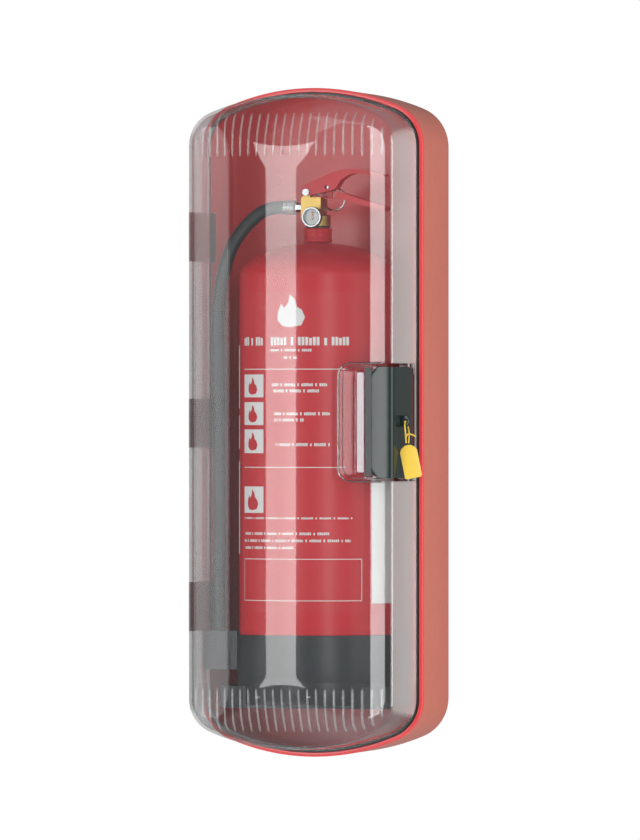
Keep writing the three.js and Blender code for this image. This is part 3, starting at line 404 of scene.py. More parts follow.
def ringed(bm, section, depthOf=None, **steps):
    # joins loops of the arched outline, each at an (inset, y) of the section
    rings = []
    for inset, y in section:
        loop = archedLoop(inset, **steps)
        rings.append([bm.verts.new((x * mm, (depthOf(x, z, inset) if depthOf else y) * mm, z * mm))
                      for x, z in loop])
    for low, high in zip(rings, rings[1:]):
        for i in range(len(low)):
            j = (i + 1) % len(low)
            bm.faces.new((low[i], low[j], high[j], high[i]))
    return rings


def makeShell():
    rim, inside = cabinet["rim"], cabinet["wall"]
    bm = bmesh.new()
    lip, behind = cabinet["lip"], cabinet["rim"] + cabinet["lipDepth"]
    section = [(lip, behind), (lip, rim + 0.8), (4.4, rim + 0.1), (0.9, rim), (0.3, rim + 0.3),
               (0, rim + 1), (0, rim + 5), (0.15, rim + 5.4), (1.9, -1.2), (2.6, -0.2), (4, 0)]
    rings = ringed(bm, section, sideSteps=8)
    bm.faces.new(rings[-1])
    count = len(bm.faces)
    inner = ringed(bm, [(lip, behind), (inside + 0.2, behind + 0.2), (inside + 1.6, -7), (9, -3)],
                   sideSteps=8)
    bm.faces.new(inner[-1])
    bm.faces.ensure_lookup_table()
    # front faces and all inside faces take the second material, the shell plastic's painted-shade copy
    for index, face in enumerate(bm.faces):
        front = max(v.co.y for v in face.verts) < (rim + 5.2) * mm
        face.material_index = 1 if front or index > count else 0
    shell = finished("backShell", bm, [finishOf["shell"], finishOf["rim"]], "cabinet",
                     ("back_shell",), merge=1e-5)
    cutter = bmesh.new()
    for x, z in cabinet["holes"]:
        bmesh.ops.create_cone(cutter, cap_ends=True, segments=32,
                              radius1=cabinet["holeRadius"] * mm,
                              radius2=cabinet["holeRadius"] * mm,
                              depth=20 * mm, matrix=Matrix.Translation((x * mm, 0, z * mm))
                              @ Matrix.Rotation(math.pi / 2, 4, "X"))
    mesh = bpy.data.meshes.new("holeCutter")
    cutter.to_mesh(mesh)
    cutter.free()
    tool = bpy.data.objects.new("holeCutter", mesh)
    bpy.context.scene.collection.objects.link(tool)
    modified(shell, "BOOLEAN", operation="DIFFERENCE", object=tool, solver="EXACT")
    bpy.data.objects.remove(tool)
    return shell


def makeWallCaps():
    # plain caps over the wall screws
    bm = bmesh.new()
    for x, z in cabinet["holes"]:
        for radius, front, back in ((3.3, -3.2, -0.4), (5.6, -4.6, -3.3)):
            addRod(bm, (x, front, z), (x, back, z), radius, 32)
    # the caps take the shell plastic's painted-shade copy
    caps = finished("wallCaps", bm, finishOf["rim"], "cabinet", merge=0)
    softened(caps, 0.5, 3)


makeShell()
makeWallCaps()
print("shell ready")


# door

door = {
    "front": -204, "frontRadius": 255, "flatHalf": 289, "crownRadius": 123.6,
    "seatY": -100.5, "seatInset": 7, "edgeInset": 10, "edgeRadius": 9, "wall": 3,
    "recess": dict(left=66, slope=14, floor=-176, side=108, bottom=-104, half=67, corner=14),
}
door["edgeX"] = cabinet["halfWidth"] - door["edgeInset"] - door["edgeRadius"]
door["edgeY"] = (door["front"] + door["frontRadius"]
                 - math.sqrt((door["frontRadius"] - door["edgeRadius"]) ** 2 - door["edgeX"] ** 2))
door["edgeTurn"] = math.acos(door["edgeX"] / (door["frontRadius"] - door["edgeRadius"]))


def smoothMax(one, two, width):
    if width <= 0:
        return max(one, two)
    share = min(max(0.5 + 0.5 * (one - two) / width, 0), 1)
    return two + (one - two) * share + width * share * (1 - share)


def edgeDepth(inset):
    # the door's side, its rounded edge and the steep cone that follows it
    if inset <= door["edgeInset"]:
        share = (inset - door["seatInset"]) / (door["edgeInset"] - door["seatInset"])
        return door["seatY"] + (door["edgeY"] - door["seatY"]) * share
    turn = door["edgeTurn"]
    across = (inset - door["edgeInset"]) / door["edgeRadius"]
    if across < 1 - math.cos(turn):
        return door["edgeY"] - door["edgeRadius"] * math.sin(math.acos(1 - across))
    beyond = inset - door["edgeInset"] - door["edgeRadius"] * (1 - math.cos(turn))
    return door["edgeY"] - door["edgeRadius"] * math.sin(turn) - beyond * 1.2


def frontDepth(x, z):
    centre = door["front"] + door["frontRadius"]
    front = centre - math.sqrt(door["frontRadius"] ** 2 - x * x)
    past = abs(z) - door["flatHalf"]
    if past <= 0:
        return front
    centreY = door["front"] + door["crownRadius"]
    crown = centreY - math.sqrt(max(door["crownRadius"] ** 2 - past * past, 1))
    return smoothMax(front, crown, min(6, past * 0.3))


def domeDepth(x, z, inset):
    if inset <= door["edgeInset"]:
        return edgeDepth(inset)
    return smoothMax(edgeDepth(inset), frontDepth(x, z), 1.2)


def looseObject(name, bm):
    mesh = bpy.data.meshes.new(name)
    bmesh.ops.recalc_face_normals(bm, faces=bm.faces)
    bm.to_mesh(mesh)
    bm.free()
    made = bpy.data.objects.new(name, mesh)
    bpy.context.scene.collection.objects.link(made)
    return made


def recessTool():
    # two closed bodies: the shallow finger recess and the deep seat of the handle's side
    size = door["recess"]
    bm = bmesh.new()
    levels = [(-235, size["left"], 0), (-194, size["left"], 0),
              (-178.6, size["left"] + 11.6, 0.4), (-176.8, size["left"] + 13.4, 1.2),
              (size["floor"], size["left"] + 16, 3)]
    rings = []
    for y, left, shrink in levels:
        half, corner = size["half"] - shrink, size["corner"]
        points = (arcPoints(left + corner, half - corner, corner, math.pi / 2, math.pi, 8)
                  + arcPoints(left + corner, corner - half, corner, math.pi, math.pi * 1.5, 8)
                  + [(170, -half), (170, half)])
        rings.append([bm.verts.new((x * mm, y * mm, z * mm)) for x, z in points])
    for low, high in zip(rings, rings[1:]):
        for i in range(len(low)):
            j = (i + 1) % len(low)
            bm.faces.new((low[i], low[j], high[j], high[i]))
    bm.faces.new(rings[0])
    bm.faces.new(rings[-1])
    shallow = looseObject("shallowTool", bm)
    bm = bmesh.new()
    low, high = Vector((size["side"], -236, -size["half"])), Vector((172, size["bottom"], size["half"]))
    middle, spread = (low + high) / 2, high - low
    bmesh.ops.create_cube(bm, size=1, matrix=Matrix.Translation(middle * mm)
                          @ Matrix.Diagonal((*(spread * mm), 1)))
    deep = looseObject("deepTool", bm)
    return shallow, deep


def makeDoor():
    fillet = [door["edgeInset"] + door["edgeRadius"] * (1 - math.cos(door["edgeTurn"] * i / 8))
              for i in range(1, 9)]
    last = fillet[-1]
    rest = [last + (134 - last) * (i / 38) for i in range(1, 39)]
    insets = [7, 7.75, 8.5, 9.25, 10] + fillet + rest
    bm = bmesh.new()
    rings = ringed(bm, [(i, 0) for i in insets], domeDepth)
    bm.faces.new(rings[0])
    bmesh.ops.remove_doubles(bm, verts=bm.verts, dist=1e-6)
    cover = finished("doorCover", bm, finishOf["dome"], "door", ("door_cover",),
                     merge=0)
    for tool in recessTool():
        modified(cover, "BOOLEAN", operation="DIFFERENCE", object=tool, solver="EXACT")
        bpy.data.objects.remove(tool)
    bm = bmesh.new()
    bm.from_mesh(cover.data)
    seat = [f for f in bm.faces if all(abs(v.co.y - door["seatY"] * mm) < 2e-5 for v in f.verts)]
    bmesh.ops.delete(bm, geom=seat, context="FACES")
    bm.to_mesh(cover.data)
    bm.free()
    modified(cover, "SOLIDIFY", thickness=door["wall"] * mm, offset=-1, use_even_offset=False)
    cover.data.shade_smooth()
    cover.data.set_sharp_from_angle(angle=math.radians(28))
    return cover


makeDoor()
print("door cover ready")


flutes = {"count": 23, "pitch": 10.2, "width": 2.6, "rise": 0.9, "from": 302, "to": 352, "inset": 15}


def insetAt(x, z):
    # distance inside the arched outline
    side = cabinet["halfWidth"] - abs(x)
    arch = cabinet["archRadius"] - math.hypot(x, abs(z) - cabinet["archCentre"])
    cornerX = cabinet["halfWidth"] - cabinet["cornerRadius"]
    cornerZ = cabinet["archCentre"] + math.sqrt(
        (cabinet["archRadius"] - cabinet["cornerRadius"]) ** 2 - cornerX ** 2)
    if abs(x) > cornerX and abs(z) > cornerZ:
        return cabinet["cornerRadius"] - math.hypot(abs(x) - cornerX, abs(z) - cornerZ)
    return min(side, arch)


def makeFlutes():
    bm = bmesh.new()
    half = flutes["width"] / 2
    cross = [(-half, -0.6), (-half * 0.8, 0.62), (-half * 0.35, 0.95), (half * 0.35, 0.95),
             (half * 0.8, 0.62), (half, -0.6)]
    for index in range(flutes["count"]):
        x = (index - (flutes["count"] - 1) / 2) * flutes["pitch"]
        end = flutes["to"]
        while insetAt(abs(x) + half, end) < flutes["inset"] and end > flutes["from"] + 8:
            end -= 0.5
        for side in (1, -1):
            rings = []
            for step in range(17):
                share = step / 16
                z = flutes["from"] + (end - flutes["from"]) * share
                taper = math.sqrt(max(1 - abs(2 * share - 1) ** 14, 0.004))
                ring = []
                for across, up in cross:
                    px = x + across * taper
                    y = domeDepth(px, z, insetAt(px, z))
                    ring.append(bm.verts.new((px * mm, (y - up * flutes["rise"] * taper) * mm,
                                              side * z * mm)))
                rings.append(ring)
            for low, high in zip(rings, rings[1:]):
                for i in range(len(cross)):
                    j = (i + 1) % len(cross)
                    bm.faces.new((low[i], low[j], high[j], high[i]))
            bm.faces.new(rings[0])
            bm.faces.new(rings[-1])
    return finished("doorFlutes", bm, finishOf["flute"], "door")


# the flutes are the clear plastic made pale grey and more opaque: painted reflection along each rib
finishOf["flute"] = clearMaterial("fluteSheen", dict(
    drift=30, low=colour(0.55, 0.55, 0.55), high=colour(0.68, 0.68, 0.67), roughness=0.12,
    waves=90, strength=0.05, edge=0.6, film=0.16, wallFrom=8.0, wallTo=9.0,
    wallReflectionTone=colour(0.9, 0.9, 0.9), wallReflectionFilm=0.0, tint=colour(0.97, 0.98, 0.98)))
makeFlutes()
print("door flutes ready")


# latch handle

handle = {
    "left": 101.5, "half": 63, "corner": 10, "sideEnd": -106.8, "thickness": 3.2,
    "axis": (120.5, -110), "barrel": 3.4, "lug": (130.585, -148, 1.4), "lugRadius": 6.5,
    "lugThickness": 3, "hole": 2, "square": 6.5, "pawl": (18, 38, -74), "nose": 3,
}


def handleLine():
    # (x, y) along the dome's surface from the handle's left edge round to its foot
    line = []
    centre = door["front"] + door["frontRadius"]
    for i in range(9):
        x = handle["left"] + (door["edgeX"] - handle["left"]) * i / 8
        line.append((x, centre - math.sqrt(door["frontRadius"] ** 2 - x * x)))
    start = math.pi * 1.5 + (math.pi / 2 - door["edgeTurn"])
    line += arcPoints(door["edgeX"], door["edgeY"], door["edgeRadius"], start, math.tau, 8)
    top = line[-1]
    endX = cabinet["halfWidth"] - door["seatInset"] - 0.28
    line += [(top[0] + (endX - top[0]) * i / 6, top[1] + (handle["sideEnd"] - top[1]) * i / 6)
             for i in range(1, 7)]
    return line


def makeHandle():
    line = handleLine()
    run = [0]
    for one, two in zip(line, line[1:]):
        run.append(run[-1] + math.dist(one, two))
    corner, total = handle["corner"], run[-1]
    extra = sorted(set(run + [corner * (1 - math.cos(math.pi / 2 * i / 10)) for i in range(11)]))
    bm = bmesh.new()
    columns = []
    for s in extra:
        k = max(i for i in range(len(run)) if run[i] <= s + 1e-9)
        k = min(k, len(run) - 2)
        share = (s - run[k]) / (run[k + 1] - run[k])
        x = line[k][0] + (line[k + 1][0] - line[k][0]) * share
        y = line[k][1] + (line[k + 1][1] - line[k][1]) * share
        cut = 0
        for near in (s, total - s):
            if near < corner:
                cut = max(cut, corner - math.sqrt(corner ** 2 - (corner - near) ** 2))
        half = handle["half"] - cut
        columns.append([bm.verts.new((x * mm, y * mm, half * (1 - i / 12) * mm)) for i in range(25)])
    for low, high in zip(columns, columns[1:]):
        for i in range(24):
            bm.faces.new((low[i], low[i + 1], high[i + 1], high[i]))
    made = finished("latchHandle", bm, finishOf["gloss"], "latch", ("latch_handle",),
                    merge=1e-6)
    outward = sum(f.normal.y for f in made.data.polygons) < 0
    if not outward:
        made.data.flip_normals()
    modified(made, "SOLIDIFY", thickness=handle["thickness"] * mm, offset=-1)
    softened(made, 0.9, 3)
    made.data.shade_smooth()
    made.data.set_sharp_from_angle(angle=math.radians(40))
    return made


def makeHandleWorks():
    # the barrel on the latch axis, the web that joins it to the handle, and the pawl behind
    bm = bmesh.new()
    x, y = handle["axis"]
    half = handle["half"] - 1
    for low, high in ((-half, -14), (14, half)):
        addRod(bm, (x, y, low), (x, y, high), handle["barrel"])
        addBlock(bm, (x, y - 2, low), (125.6, y + 3, high))
    low, high, reach = handle["pawl"]
    addBlock(bm, (x - 1.5, y, low), (x + 1.5, reach, high))
    addBlock(bm, (x - 1.5, reach - 6, low), (x + handle["nose"], reach, high))
    works = finished("latchWorks", bm, finishOf["gloss"], "latch", merge=0)
    softened(works, 0.4, 2)
    return works


def makeLug():
    # square against the handle, round at the far end, with the seal's hole through it
    lx, ly, lz = handle["lug"]
    square, radius, depth = handle["square"], handle["lugRadius"], handle["lugThickness"]
    outline = ([(123.2, square), (123.2, -square), (lx - 0.5, -square)]
               + arcPoints(lx, 0, radius, -math.pi / 2, math.pi / 2, 24)
               + [(lx - 0.5, square)])
    inner = arcPoints(lx, 0, handle["hole"], 0, math.tau, 32)[:-1]
    bm = bmesh.new()
    outer = [bm.verts.new((px * mm, (ly - depth / 2) * mm, (lz + pz) * mm)) for px, pz in outline]
    hole = [bm.verts.new((px * mm, (ly - depth / 2) * mm, (lz + pz) * mm)) for px, pz in inner]
    edges = [bm.edges.new((ring[i], ring[(i + 1) % len(ring)])) for ring in (outer, hole)
             for i in range(len(ring))]
    bmesh.ops.triangle_fill(bm, use_beauty=True, edges=edges)
    extruded = bmesh.ops.extrude_face_region(bm, geom=bm.faces[:])
    moved = [v for v in extruded["geom"] if isinstance(v, bmesh.types.BMVert)]
    bmesh.ops.translate(bm, vec=(0, depth * mm, 0), verts=moved)
    lug = finished("latchLug", bm, finishOf["gloss"], "latch")
    softened(lug, 0.5, 3)
    lug.data.shade_smooth()
    lug.data.set_sharp_from_angle(angle=math.radians(40))
    return lug


makeHandle()
makeHandleWorks()
makeLug()
print("latch handle ready")


# extinguisher body

bottle = {
    "x": 8.5, "y": -101, "radius": 90, "bottom": -318.7, "bottomRise": 36, "shoulder": 166,
    "shoulderTop": 205, "seam": (-57, -51), "groove": 0.7, "opening": 13,
    "skirt": (92.5, -322, -242),
}


def makeBottle():
    radius, bottom = bottle["radius"], bottle["bottom"]
    profile = [(radius * math.sin(t), bottom + bottle["bottomRise"] * (1 - math.cos(t)))
               for t in (math.pi / 2 * i / 14 for i in range(15))]
    low, high = bottle["seam"]
    deep = radius - bottle["groove"]
    profile += [(radius, low - 0.6), (radius - 0.2, low), (deep, low + 0.8), (deep + 0.4, low + 2.4),
                (deep + 0.4, high - 2.4), (deep, high - 0.8), (radius - 0.2, high), (radius, high + 0.6)]
    last = math.acos(bottle["opening"] / radius)
    rise = bottle["shoulderTop"] - bottle["shoulder"]
    outer = [(radius * math.cos(last * i / 20), bottle["shoulder"] + rise * math.sin(last * i / 20))
             for i in range(21)]
    profile += outer
    profile += [(r - 1.4, z - 1.6) for r, z in reversed(outer)] + [(radius - 1.6, low), (0, bottom + 1.6)]
    return turnedPiece("bottleBody", profile, (bottle["x"], bottle["y"], 0), finishOf["paint"],
                       "extinguisher", ("cylinder",))


def makeSkirt():
    radius, low, high = bottle["skirt"]
    inner = bottle["radius"] + 0.3
    profile = [(30, low), (radius - 2.4, low), (radius - 0.7, low + 0.7), (radius, low + 2.4),
               (radius, low + 24), (radius - 0.25, low + 25), (radius - 0.25, low + 27),
               (radius, low + 28), (radius, high - 1.4), (radius - 0.4, high - 0.4),
               (radius - 1.2, high), (inner + 0.2, high), (inner, high - 0.6), (inner, low + 34),
               (74, low + 9.5), (50, low + 3.2), (30, low + 3), (30, low)]
    return turnedPiece("baseSkirt", profile, (bottle["x"], bottle["y"], 0), finishOf["black"],
                       "extinguisher", ("base_skirt",))


def makeNeck():
    profile = [(10.5, 199), (12.7, 199), (12.7, 205.3), (15.2, 205.6), (16, 206.6), (16, 209.5),
               (15.6, 210), (15.6, 217), (16, 217.5), (16, 221), (15, 222), (10.5, 222), (10.5, 199)]
    return turnedPiece("neckRing", profile, (bottle["x"], bottle["y"], 0), finishOf["paint"],
                       "extinguisher", ("neck_ring",), sharp=50)


makeBottle()
makeSkirt()
makeNeck()
print("bottle ready")


# printed label

labelPrint = {
    "base": 90.32, "ink": 90.42, "from": -52, "to": 55, "low": -216, "high": 148,
    "edge": (-90, -61), "edgeBars": [(16, 88), (-30, 8), (-150, -44)],
    "title": [(-48.5, -23, 87.5, 97), (-17, 45, 87.5, 97)], "titlePitch": 4.3,
    "text": [(-17, 16, 80.5, 83.5), (-6, 5, 72, 75), (-16, 27, 41, 44.5), (-16, 22, 34, 37.5),
             (-14, 29, 8, 11.5), (-14, 10, 1, 4.5), (-14, 31, -27, -23.5), (-48, 46, -110, -107.8),
             (-48, 30, -128, -125), (-48, 44, -136, -133), (-48, 4, -144, -141)],
    "textPitch": 2.3, "lines": [(-48.5, 40, 60, 60.9), (-48.5, 40, -51.6, -50.7)],
    "frame": (-48.5, 53, -155, -203), "frameLine": 0.8,
    "squares": [(28.5, 54.5), (-3, 23), (-35, -8), (-103, -73)], "squareTurn": (-48.5, -24),
}


def wrapped(bm, radius, start, end, low, high):
    # a patch of the bottle's surface, in degrees round and millimetres up
    steps = max(1, round(abs(end - start) / 3))
    rows = []
    for z in (low, high):
        row = []
        for i in range(steps + 1):
            turn = math.radians(start + (end - start) * i / steps)
            row.append(bm.verts.new(((bottle["x"] + radius * math.sin(turn)) * mm,
                                     (bottle["y"] - radius * math.cos(turn)) * mm, z * mm)))
        rows.append(row)
    for i in range(steps):
        bm.faces.new((rows[0][i], rows[0][i + 1], rows[1][i + 1], rows[1][i]))


def marks(bm, radius, start, end, low, high, pitch):
    # rows of small plain blocks where the real label has its words
    step = math.degrees(pitch / radius)
    count = int((end - start) / step)
    for i in range(count):
        if (i * 7 + count) % 9 not in (3, 8):
            at = start + i * step
            drop = (high - low) * (0.12 if (i * 5 + count) % 4 == 1 else 0)
            wrapped(bm, radius, at, at + step * 0.76, low, high - drop)


flameShape = [(0, 0), (0.34, 0.06), (0.46, 0.3), (0.36, 0.52), (0.2, 0.62), (0.16, 0.82), (-0.02, 1),
              (-0.06, 0.74), (-0.2, 0.58), (-0.3, 0.72), (-0.42, 0.42), (-0.42, 0.2), (-0.26, 0.04)]


def flame(bm, radius, turn, low, size):
    # a plain flame, laid on the bottle in thin level rows
    count = int(size / 0.5)
    for row in range(count):
        up = (row + 0.5) / count
        crossings = []
        for (ax, az), (bx, bz) in zip(flameShape, flameShape[1:] + flameShape[:1]):
            if (az > up) != (bz > up):
                crossings.append(ax + (bx - ax) * (up - az) / (bz - az))
        crossings.sort()
        for left, right in zip(crossings[::2], crossings[1::2]):
            wrapped(bm, radius, turn + math.degrees(left * size / radius),
                    turn + math.degrees(right * size / radius), low + row * size / count,
                    low + (row + 1) * size / count)


def makeLabel():
    ink = labelPrint["ink"]
    bm = bmesh.new()
    wrapped(bm, labelPrint["base"], labelPrint["from"], labelPrint["to"], labelPrint["low"],
            labelPrint["high"])
    finished("frontLabel", bm, finishOf["labelRed"], "extinguisher", ("front_label",))
    bm = bmesh.new()
    for rows, pitch in ((labelPrint["title"], labelPrint["titlePitch"]),
                        (labelPrint["text"], labelPrint["textPitch"])):
        for row in rows:
            marks(bm, ink, *row, pitch)
    for line in labelPrint["lines"]:
        wrapped(bm, ink, *line)
    start, end, top, bottom = labelPrint["frame"]
    line = labelPrint["frameLine"]
    turn = math.degrees(line / ink)
    wrapped(bm, ink, start, end, top, top - line)
    wrapped(bm, ink, start, end, bottom + line, bottom)
    wrapped(bm, ink, start, start + turn, top, bottom)
    wrapped(bm, ink, end - turn, end, top, bottom)
    left, right = labelPrint["squareTurn"]
    for low, high in labelPrint["squares"]:
        wrapped(bm, ink, left, right, low, high)
    for low, high in labelPrint["edgeBars"]:
        wrapped(bm, ink, *labelPrint["edge"], low, high)
    flame(bm, ink, -1, 108, 38)
    for face in bm.faces:
        face.smooth = True
    finished("labelPrint", bm, finishOf["ink"], "extinguisher", merge=0)
    bm = bmesh.new()
    for low, high in labelPrint["squares"]:
        flame(bm, ink + 0.08, sum(labelPrint["squareTurn"]) / 2, low + 3, high - low - 6)
    finished("labelPictures", bm, finishOf["labelRed"], "extinguisher", merge=0)


finishOf["labelRed"] = mottled("labelRed", *tones["paintRed"], (0.3, 0.42), 12, 300, 0.06)
finishOf["ink"] = mottled("labelInk", colour(0.80, 0.79, 0.78), colour(0.88, 0.87, 0.86),
                          (0.36, 0.5), 20, 300, 0.05)
makeLabel()
print("label ready")


# black trim behind the handle

trim = {"left": 91.6, "right": 100.4, "half": 62, "front": -177.5}
# a pale bluish plate on the recess floor: a painted glint, the floor's reflection painted on
rib = {"left": 81.6, "right": 90.6, "half": 57, "front": -177.2}
bead = {"radius": 1.25, "sink": 0.5, "innerRadius": 0.7, "innerSink": 4.5, "step": 3.4, "reach": 4}


def makePlate(name, size, finish, width):
    # a thin plate on the floor of the recess
    bm = bmesh.new()
    floor = door["recess"]["floor"] - 0.1
    addBlock(bm, (size["left"], size["front"], -size["half"]), (size["right"], floor, size["half"]))
    plate = finished(name, bm, finish, "door", merge=0)
    softened(plate, width, 2)


def makeBead():
    # rolled edge round the finger recess, on the dome's surface
    size = door["recess"]
    left, half, corner = size["left"], size["half"], size["corner"]
    reach = size["side"] + bead["reach"]
    path = ([(reach - (reach - left - corner) * i / 8, half) for i in range(8)]
            + arcPoints(left + corner, half - corner, corner, math.pi / 2, math.pi, 10)
            + [(left, (half - corner) * (1 - i / 12)) for i in range(1, 12)])
    path += [(x, -z) for x, z in [(left, 0.01)]] + [(x, -z) for x, z in reversed(path)]
    line = [Vector((x, frontDepth(x, z) + bead["sink"], z)) * mm for x, z in path]
    bm = bmesh.new()
    addTube(bm, line, bead["radius"] * mm, 10)
    step = bead["step"]
    inner = [(x + (step if x < left + corner + 1 else 0), z * (half - step) / half)
             for x, z in path]
    line = [Vector((x, frontDepth(x, z) + bead["innerSink"], z)) * mm for x, z in inner]
    addTube(bm, line, bead["innerRadius"] * mm, 8)
    finished("recessBead", bm, finishOf["bead"], "door", merge=0)


# the bead is the clear plastic made dark red and more opaque: a painted dark line of shade along the
# recess edge
finishOf["bead"] = clearMaterial("beadShade", dict(
    drift=30, low=colour(0.035, 0.012, 0.012), high=colour(0.06, 0.025, 0.025), roughness=0.1,
    waves=90, strength=0.05, edge=0.5, film=0.42, wallFrom=8.0, wallTo=9.0,
    wallReflectionTone=colour(0.9, 0.9, 0.9), wallReflectionFilm=0.0, tint=colour(0.9, 0.86, 0.86)))
# pale bluish, half-opaque clear plastic: a painted glint on the recess floor
finishOf["rib"] = clearMaterial("ribFace", dict(
    drift=30, low=colour(0.42, 0.38, 0.46), high=colour(0.52, 0.48, 0.56), roughness=0.12,
    waves=90, strength=0.05, edge=0.5, film=0.2, wallFrom=8.0, wallTo=9.0,
    wallReflectionTone=colour(0.9, 0.9, 0.9), wallReflectionFilm=0.0, tint=colour(0.97, 0.96, 0.98)))
makePlate("recessTrim", trim, finishOf["black"], 0.6)
print("recess trim ready")


# hose and its ends

hose = {
    "radius": 7.5, "turns": 28,
    "route": [(-33, -101, 245.9), (-42, -101, 245.9), (-57, -103.2, 241.6), (-76.4, -108, 225),
              (-89.3, -113, 205.5), (-97, -117, 184), (-102, -120.4, 160), (-104.2, -123, 134),
              (-104.6, -124.4, 104), (-104.2, -124.8, 72), (-103.8, -125, 30), (-103.4, -125, -20),
              (-103.2, -125, -70), (-103, -125, -120), (-103, -125, -170), (-103, -125, -210),
              (-103, -125, -236)],
    "end": (-103, -125), "portZ": 245.9,
}


def smoothLine(points, between):
    # a curve through the points, each span cut into a few short ones
    line = []
    for i in range(len(points) - 1):
        before = points[max(i - 1, 0)]
        one, two = points[i], points[i + 1]
        after = points[min(i + 2, len(points) - 1)]
        spans = [max((b - a).length, 1e-6) ** 0.5
                 for a, b in ((before, one), (one, two), (two, after))]
        if i == 0:
            spans[0] = spans[1]
        if i == len(points) - 2:
            spans[2] = spans[1]
        out = ((one - before) / spans[0] - (two - before) / (spans[0] + spans[1])
               + (two - one) / spans[1]) * spans[1] if i else (two - one)
        into = ((two - one) / spans[1] - (after - one) / (spans[1] + spans[2])
                + (after - two) / spans[2]) * spans[1] if i < len(points) - 2 else (two - one)
        for k in range(between):
            t = k / between
            line.append(one * (2 * t ** 3 - 3 * t ** 2 + 1) + out * (t ** 3 - 2 * t ** 2 + t)
                        + two * (3 * t ** 2 - 2 * t ** 3) + into * (t ** 3 - t ** 2))
    return line + [points[-1]]


def addTube(bm, line, radius, sides, closed=False):
    rings = []
    side = Vector((0, 1, 0))
    for i, point in enumerate(line):
        if closed:
            along = (line[(i + 1) % len(line)] - line[i - 1]).normalized()
        else:
            along = (line[min(i + 1, len(line) - 1)] - line[max(i - 1, 0)]).normalized()
        side = (side - along * side.dot(along)).normalized()
        up = along.cross(side)
        rings.append([bm.verts.new(point + (side * math.cos(t) + up * math.sin(t)) * radius)
                      for t in (math.tau * k / sides for k in range(sides))])
    pairs = list(zip(rings, rings[1:])) + ([(rings[-1], rings[0])] if closed else [])
    for low, high in pairs:
        for k in range(sides):
            n = (k + 1) % sides
            bm.faces.new((low[k], low[n], high[n], high[k]))
    if not closed:
        bm.faces.new(rings[0])
        bm.faces.new(rings[-1])


def makeHose():
    points = [Vector(p) * mm for p in hose["route"]]
    line = smoothLine(points, 6)
    bm = bmesh.new()
    addTube(bm, line, hose["radius"] * mm, hose["turns"])
    tube = finished("dischargeHose", bm, finishOf["rubber"], "extinguisher",
                    ("discharge_hose",), merge=0)
    length = sum((b - a).length for a, b in zip(line, line[1:]))
    print("hose length", round(length, 4))
    x, y = hose["end"]
    nozzle = turnedPiece("hoseNozzle", [
        (3, -276.3), (4.6, -276.3), (5, -275.9), (5.4, -268), (6.6, -251), (8.2, -248.6),
        (8.6, -248), (8.6, -246), (8.1, -245.6), (8.1, -243.6), (8.6, -243.2), (8.6, -237),
        (8.2, -236.4), (5, -236.4), (3, -248), (3, -276.3)],
        (x, y, 0), finishOf["black"], "extinguisher", ("nozzle",), steps=48)
    ferrule = turnedPiece("hoseFerrule", [
        (3, -41), (8.1, -41), (8.6, -40.5), (8.6, -38.4), (8.1, -37.9), (8.1, -35.6), (8.6, -35.1),
        (8.6, -32.8), (8.1, -32.3), (8.1, -30.2), (8.6, -29.7), (8.6, -27.5), (8.1, -27),
        (3, -27), (3, -41)],
        (bottle["x"], bottle["y"], hose["portZ"]), finishOf["steel"], "extinguisher",
        ("hose_ferrule",), axis="X", steps=48, sharp=50)


makeHose()
print("hose ready")


# pressure gauge

gauge = {"z": 234.3, "back": -15.3, "radius": 11.7, "opening": 9.2, "ticks": 17}


def makeGauge():
    z, back, radius, opening = gauge["z"], gauge["back"], gauge["radius"], gauge["opening"]
    profile = [(0, back), (radius - 2, back), (radius - 0.8, back - 0.6),
               (radius - 0.4, back - 1.6), (radius - 0.4, back - 6.6), (radius, back - 7),
               (radius, back - 8.4), (radius - 0.5, back - 9), (opening + 0.5, back - 9),
               (opening, back - 8.5), (opening, back - 2.2), (0, back - 2.2), (0, back)]
    turnedPiece("gaugeCase", profile, (bottle["x"], bottle["y"], z), finishOf["steel"],
                "extinguisher", ("gauge_case",), axis="Y", sharp=40, steps=64)
    centre = Vector((bottle["x"], bottle["y"] + back - 3.2, z)) * mm
    bm = bmesh.new()
    for i in range(gauge["ticks"]):
        turn = Matrix.Rotation(math.radians(-125 + 250 * i / (gauge["ticks"] - 1)), 4, "Y")
        size = Vector((0.32, 0.12, 1.5 if i % 4 == 0 else 0.9)) * mm
        bmesh.ops.create_cube(bm, size=1, matrix=Matrix.Translation(centre) @ turn
                              @ Matrix.Translation((0, 0, 7.6 * mm)) @ Matrix.Diagonal((*size, 1)))
    finished("gaugeTicks", bm, finishOf["black"], "extinguisher", merge=0)
    bm = bmesh.new()
    for i in range(9):
        turn = Matrix.Rotation(math.radians(-20 + 6 * i), 4, "Y")
        size = Vector((0.62, 0.12, 1.2)) * mm
        bmesh.ops.create_cube(bm, size=1, matrix=Matrix.Translation(centre) @ turn
                              @ Matrix.Translation((0, 0, 5.7 * mm)) @ Matrix.Diagonal((*size, 1)))
    finished("gaugeBand", bm, finishOf["green"], "extinguisher", merge=0)


makeBead()
# the pale plate on the recess floor is a painted glint
makePlate("recessGlintPlate", rib, finishOf["rib"], 0.5)
makeGauge()
print("gauge ready")


# valve spring

spring = {"radius": 4.6, "wire": 0.78, "low": 202.1, "high": 226.6, "turns": 6, "travel": 2.9}


def makeSpring():
    count = spring["turns"] * 24
    line = [Vector((bottle["x"] + spring["radius"] * math.cos(math.tau * i / 24),
                    bottle["y"] + spring["radius"] * math.sin(math.tau * i / 24),
                    spring["low"] + (spring["high"] - spring["low"]) * i / count)) * mm
            for i in range(count + 1)]
    bm = bmesh.new()
    addTube(bm, line, spring["wire"] * mm, 8)
    coil = finished("valveSpring", bm, finishOf["steel"], "extinguisher",
                    ("valve_spring",), merge=0)
    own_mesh(coil)


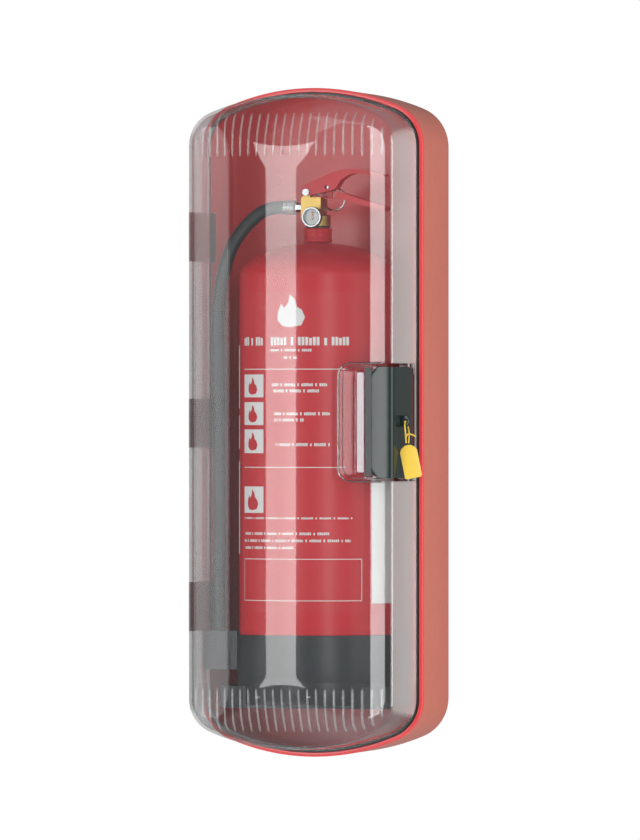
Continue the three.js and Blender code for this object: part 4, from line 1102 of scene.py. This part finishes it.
makeSpring()
print("valve spring ready")


# tamper seal

seal = {
    "hole": (130.585, -148, 1.4), "low": -26.6, "strap": 0.85, "lean": 11.4, "turn": 8,
    "width": 20, "height": 38, "thickness": 1.6, "shoulder": 7, "tagAt": (3.2, -3.4, -25.9),
}


def makeSeal():
    hx, hy, hz = seal["hole"]
    low = seal["low"]
    route = [(2, -4.2, low + 3), (1.2, -4.4, low + 14), (0.2, -3.8, hz - 5), (0, -2.6, hz - 0.8),
             (0, 0, hz), (0, 2.6, hz - 0.8), (1.4, 3.4, hz - 6), (3.6, 1, low + 14),
             (4.4, -2.6, low + 3)]
    tail = [(1.6, -5.6, low + 9), (5, -6.2, low + 13.5), (9, -6.6, low + 13), (14.5, -6.2, low + 10.5)]
    bm = bmesh.new()
    for points in (route, tail):
        line = smoothLine([Vector((hx + x, hy + y, z)) * mm for x, y, z in points], 6)
        addTube(bm, line, seal["strap"] * mm, 10)
    finished("sealStrap", bm, finishOf["yellow"], "seal", ("seal_strap",), merge=0)
    half, height, shoulder = seal["width"] / 2, seal["height"], seal["shoulder"]
    outline = [(-3, 0), (3, 0), (half - 2, -3), (half, -shoulder), (half, 2 - height),
               (half - 2, -height), (2 - half, -height), (-half, 2 - height), (-half, -shoulder),
               (2 - half, -3)]
    bm = bmesh.new()
    back = [bm.verts.new((x * mm, seal["thickness"] / 2 * mm, z * mm)) for x, z in outline]
    face = bm.faces.new(back)
    moved = bmesh.ops.extrude_face_region(bm, geom=[face])["geom"]
    bmesh.ops.translate(bm, vec=(0, -seal["thickness"] * mm, 0),
                        verts=[v for v in moved if isinstance(v, bmesh.types.BMVert)])
    front = [f for f in bm.faces if all(v.co.y < 0 for v in f.verts)]
    bmesh.ops.inset_region(bm, faces=front, thickness=1.5 * mm, depth=0)
    bmesh.ops.translate(bm, vec=(0, 0.35 * mm, 0), verts=list({v for f in front for v in f.verts}))
    ax, ay, az = seal["tagAt"]
    place = (Matrix.Translation(Vector((hx + ax, hy + ay, az + hz - 1.4)) * mm)
             @ Matrix.Rotation(math.radians(seal["turn"]), 4, "Z")
             @ Matrix.Rotation(math.radians(-seal["lean"]), 4, "Y"))
    bmesh.ops.transform(bm, matrix=place, verts=bm.verts)
    tag = finished("sealTag", bm, finishOf["yellow"], "seal", ("seal_tag",))
    softened(tag, 0.35, 2, 0.5)


makeSeal()
print("seal ready")


# finishes of the pieces that keep their own shape

slotFinish = {
    "red_shell": "shell", "red_paint": "paint", "clear_dome": "dome", "black_plastic": "black",
    "dark_handle": "gloss", "rubber": "rubber", "steel": "steel", "brass": "brass",
    "seal_yellow": "yellow", "white_plastic": "white", "needle": "needle", "gauge_clear": "lens",
}
painted = 0
for part in frame["record"]["subparts"]:
    node = frame["nodes"][part["node"]]
    if not node.hide_render:
        node.data.materials.clear()
        node.data.materials.append(finishOf[slotFinish[part["material_slot"]]])
        painted += 1
print("kept pieces finished:", painted)
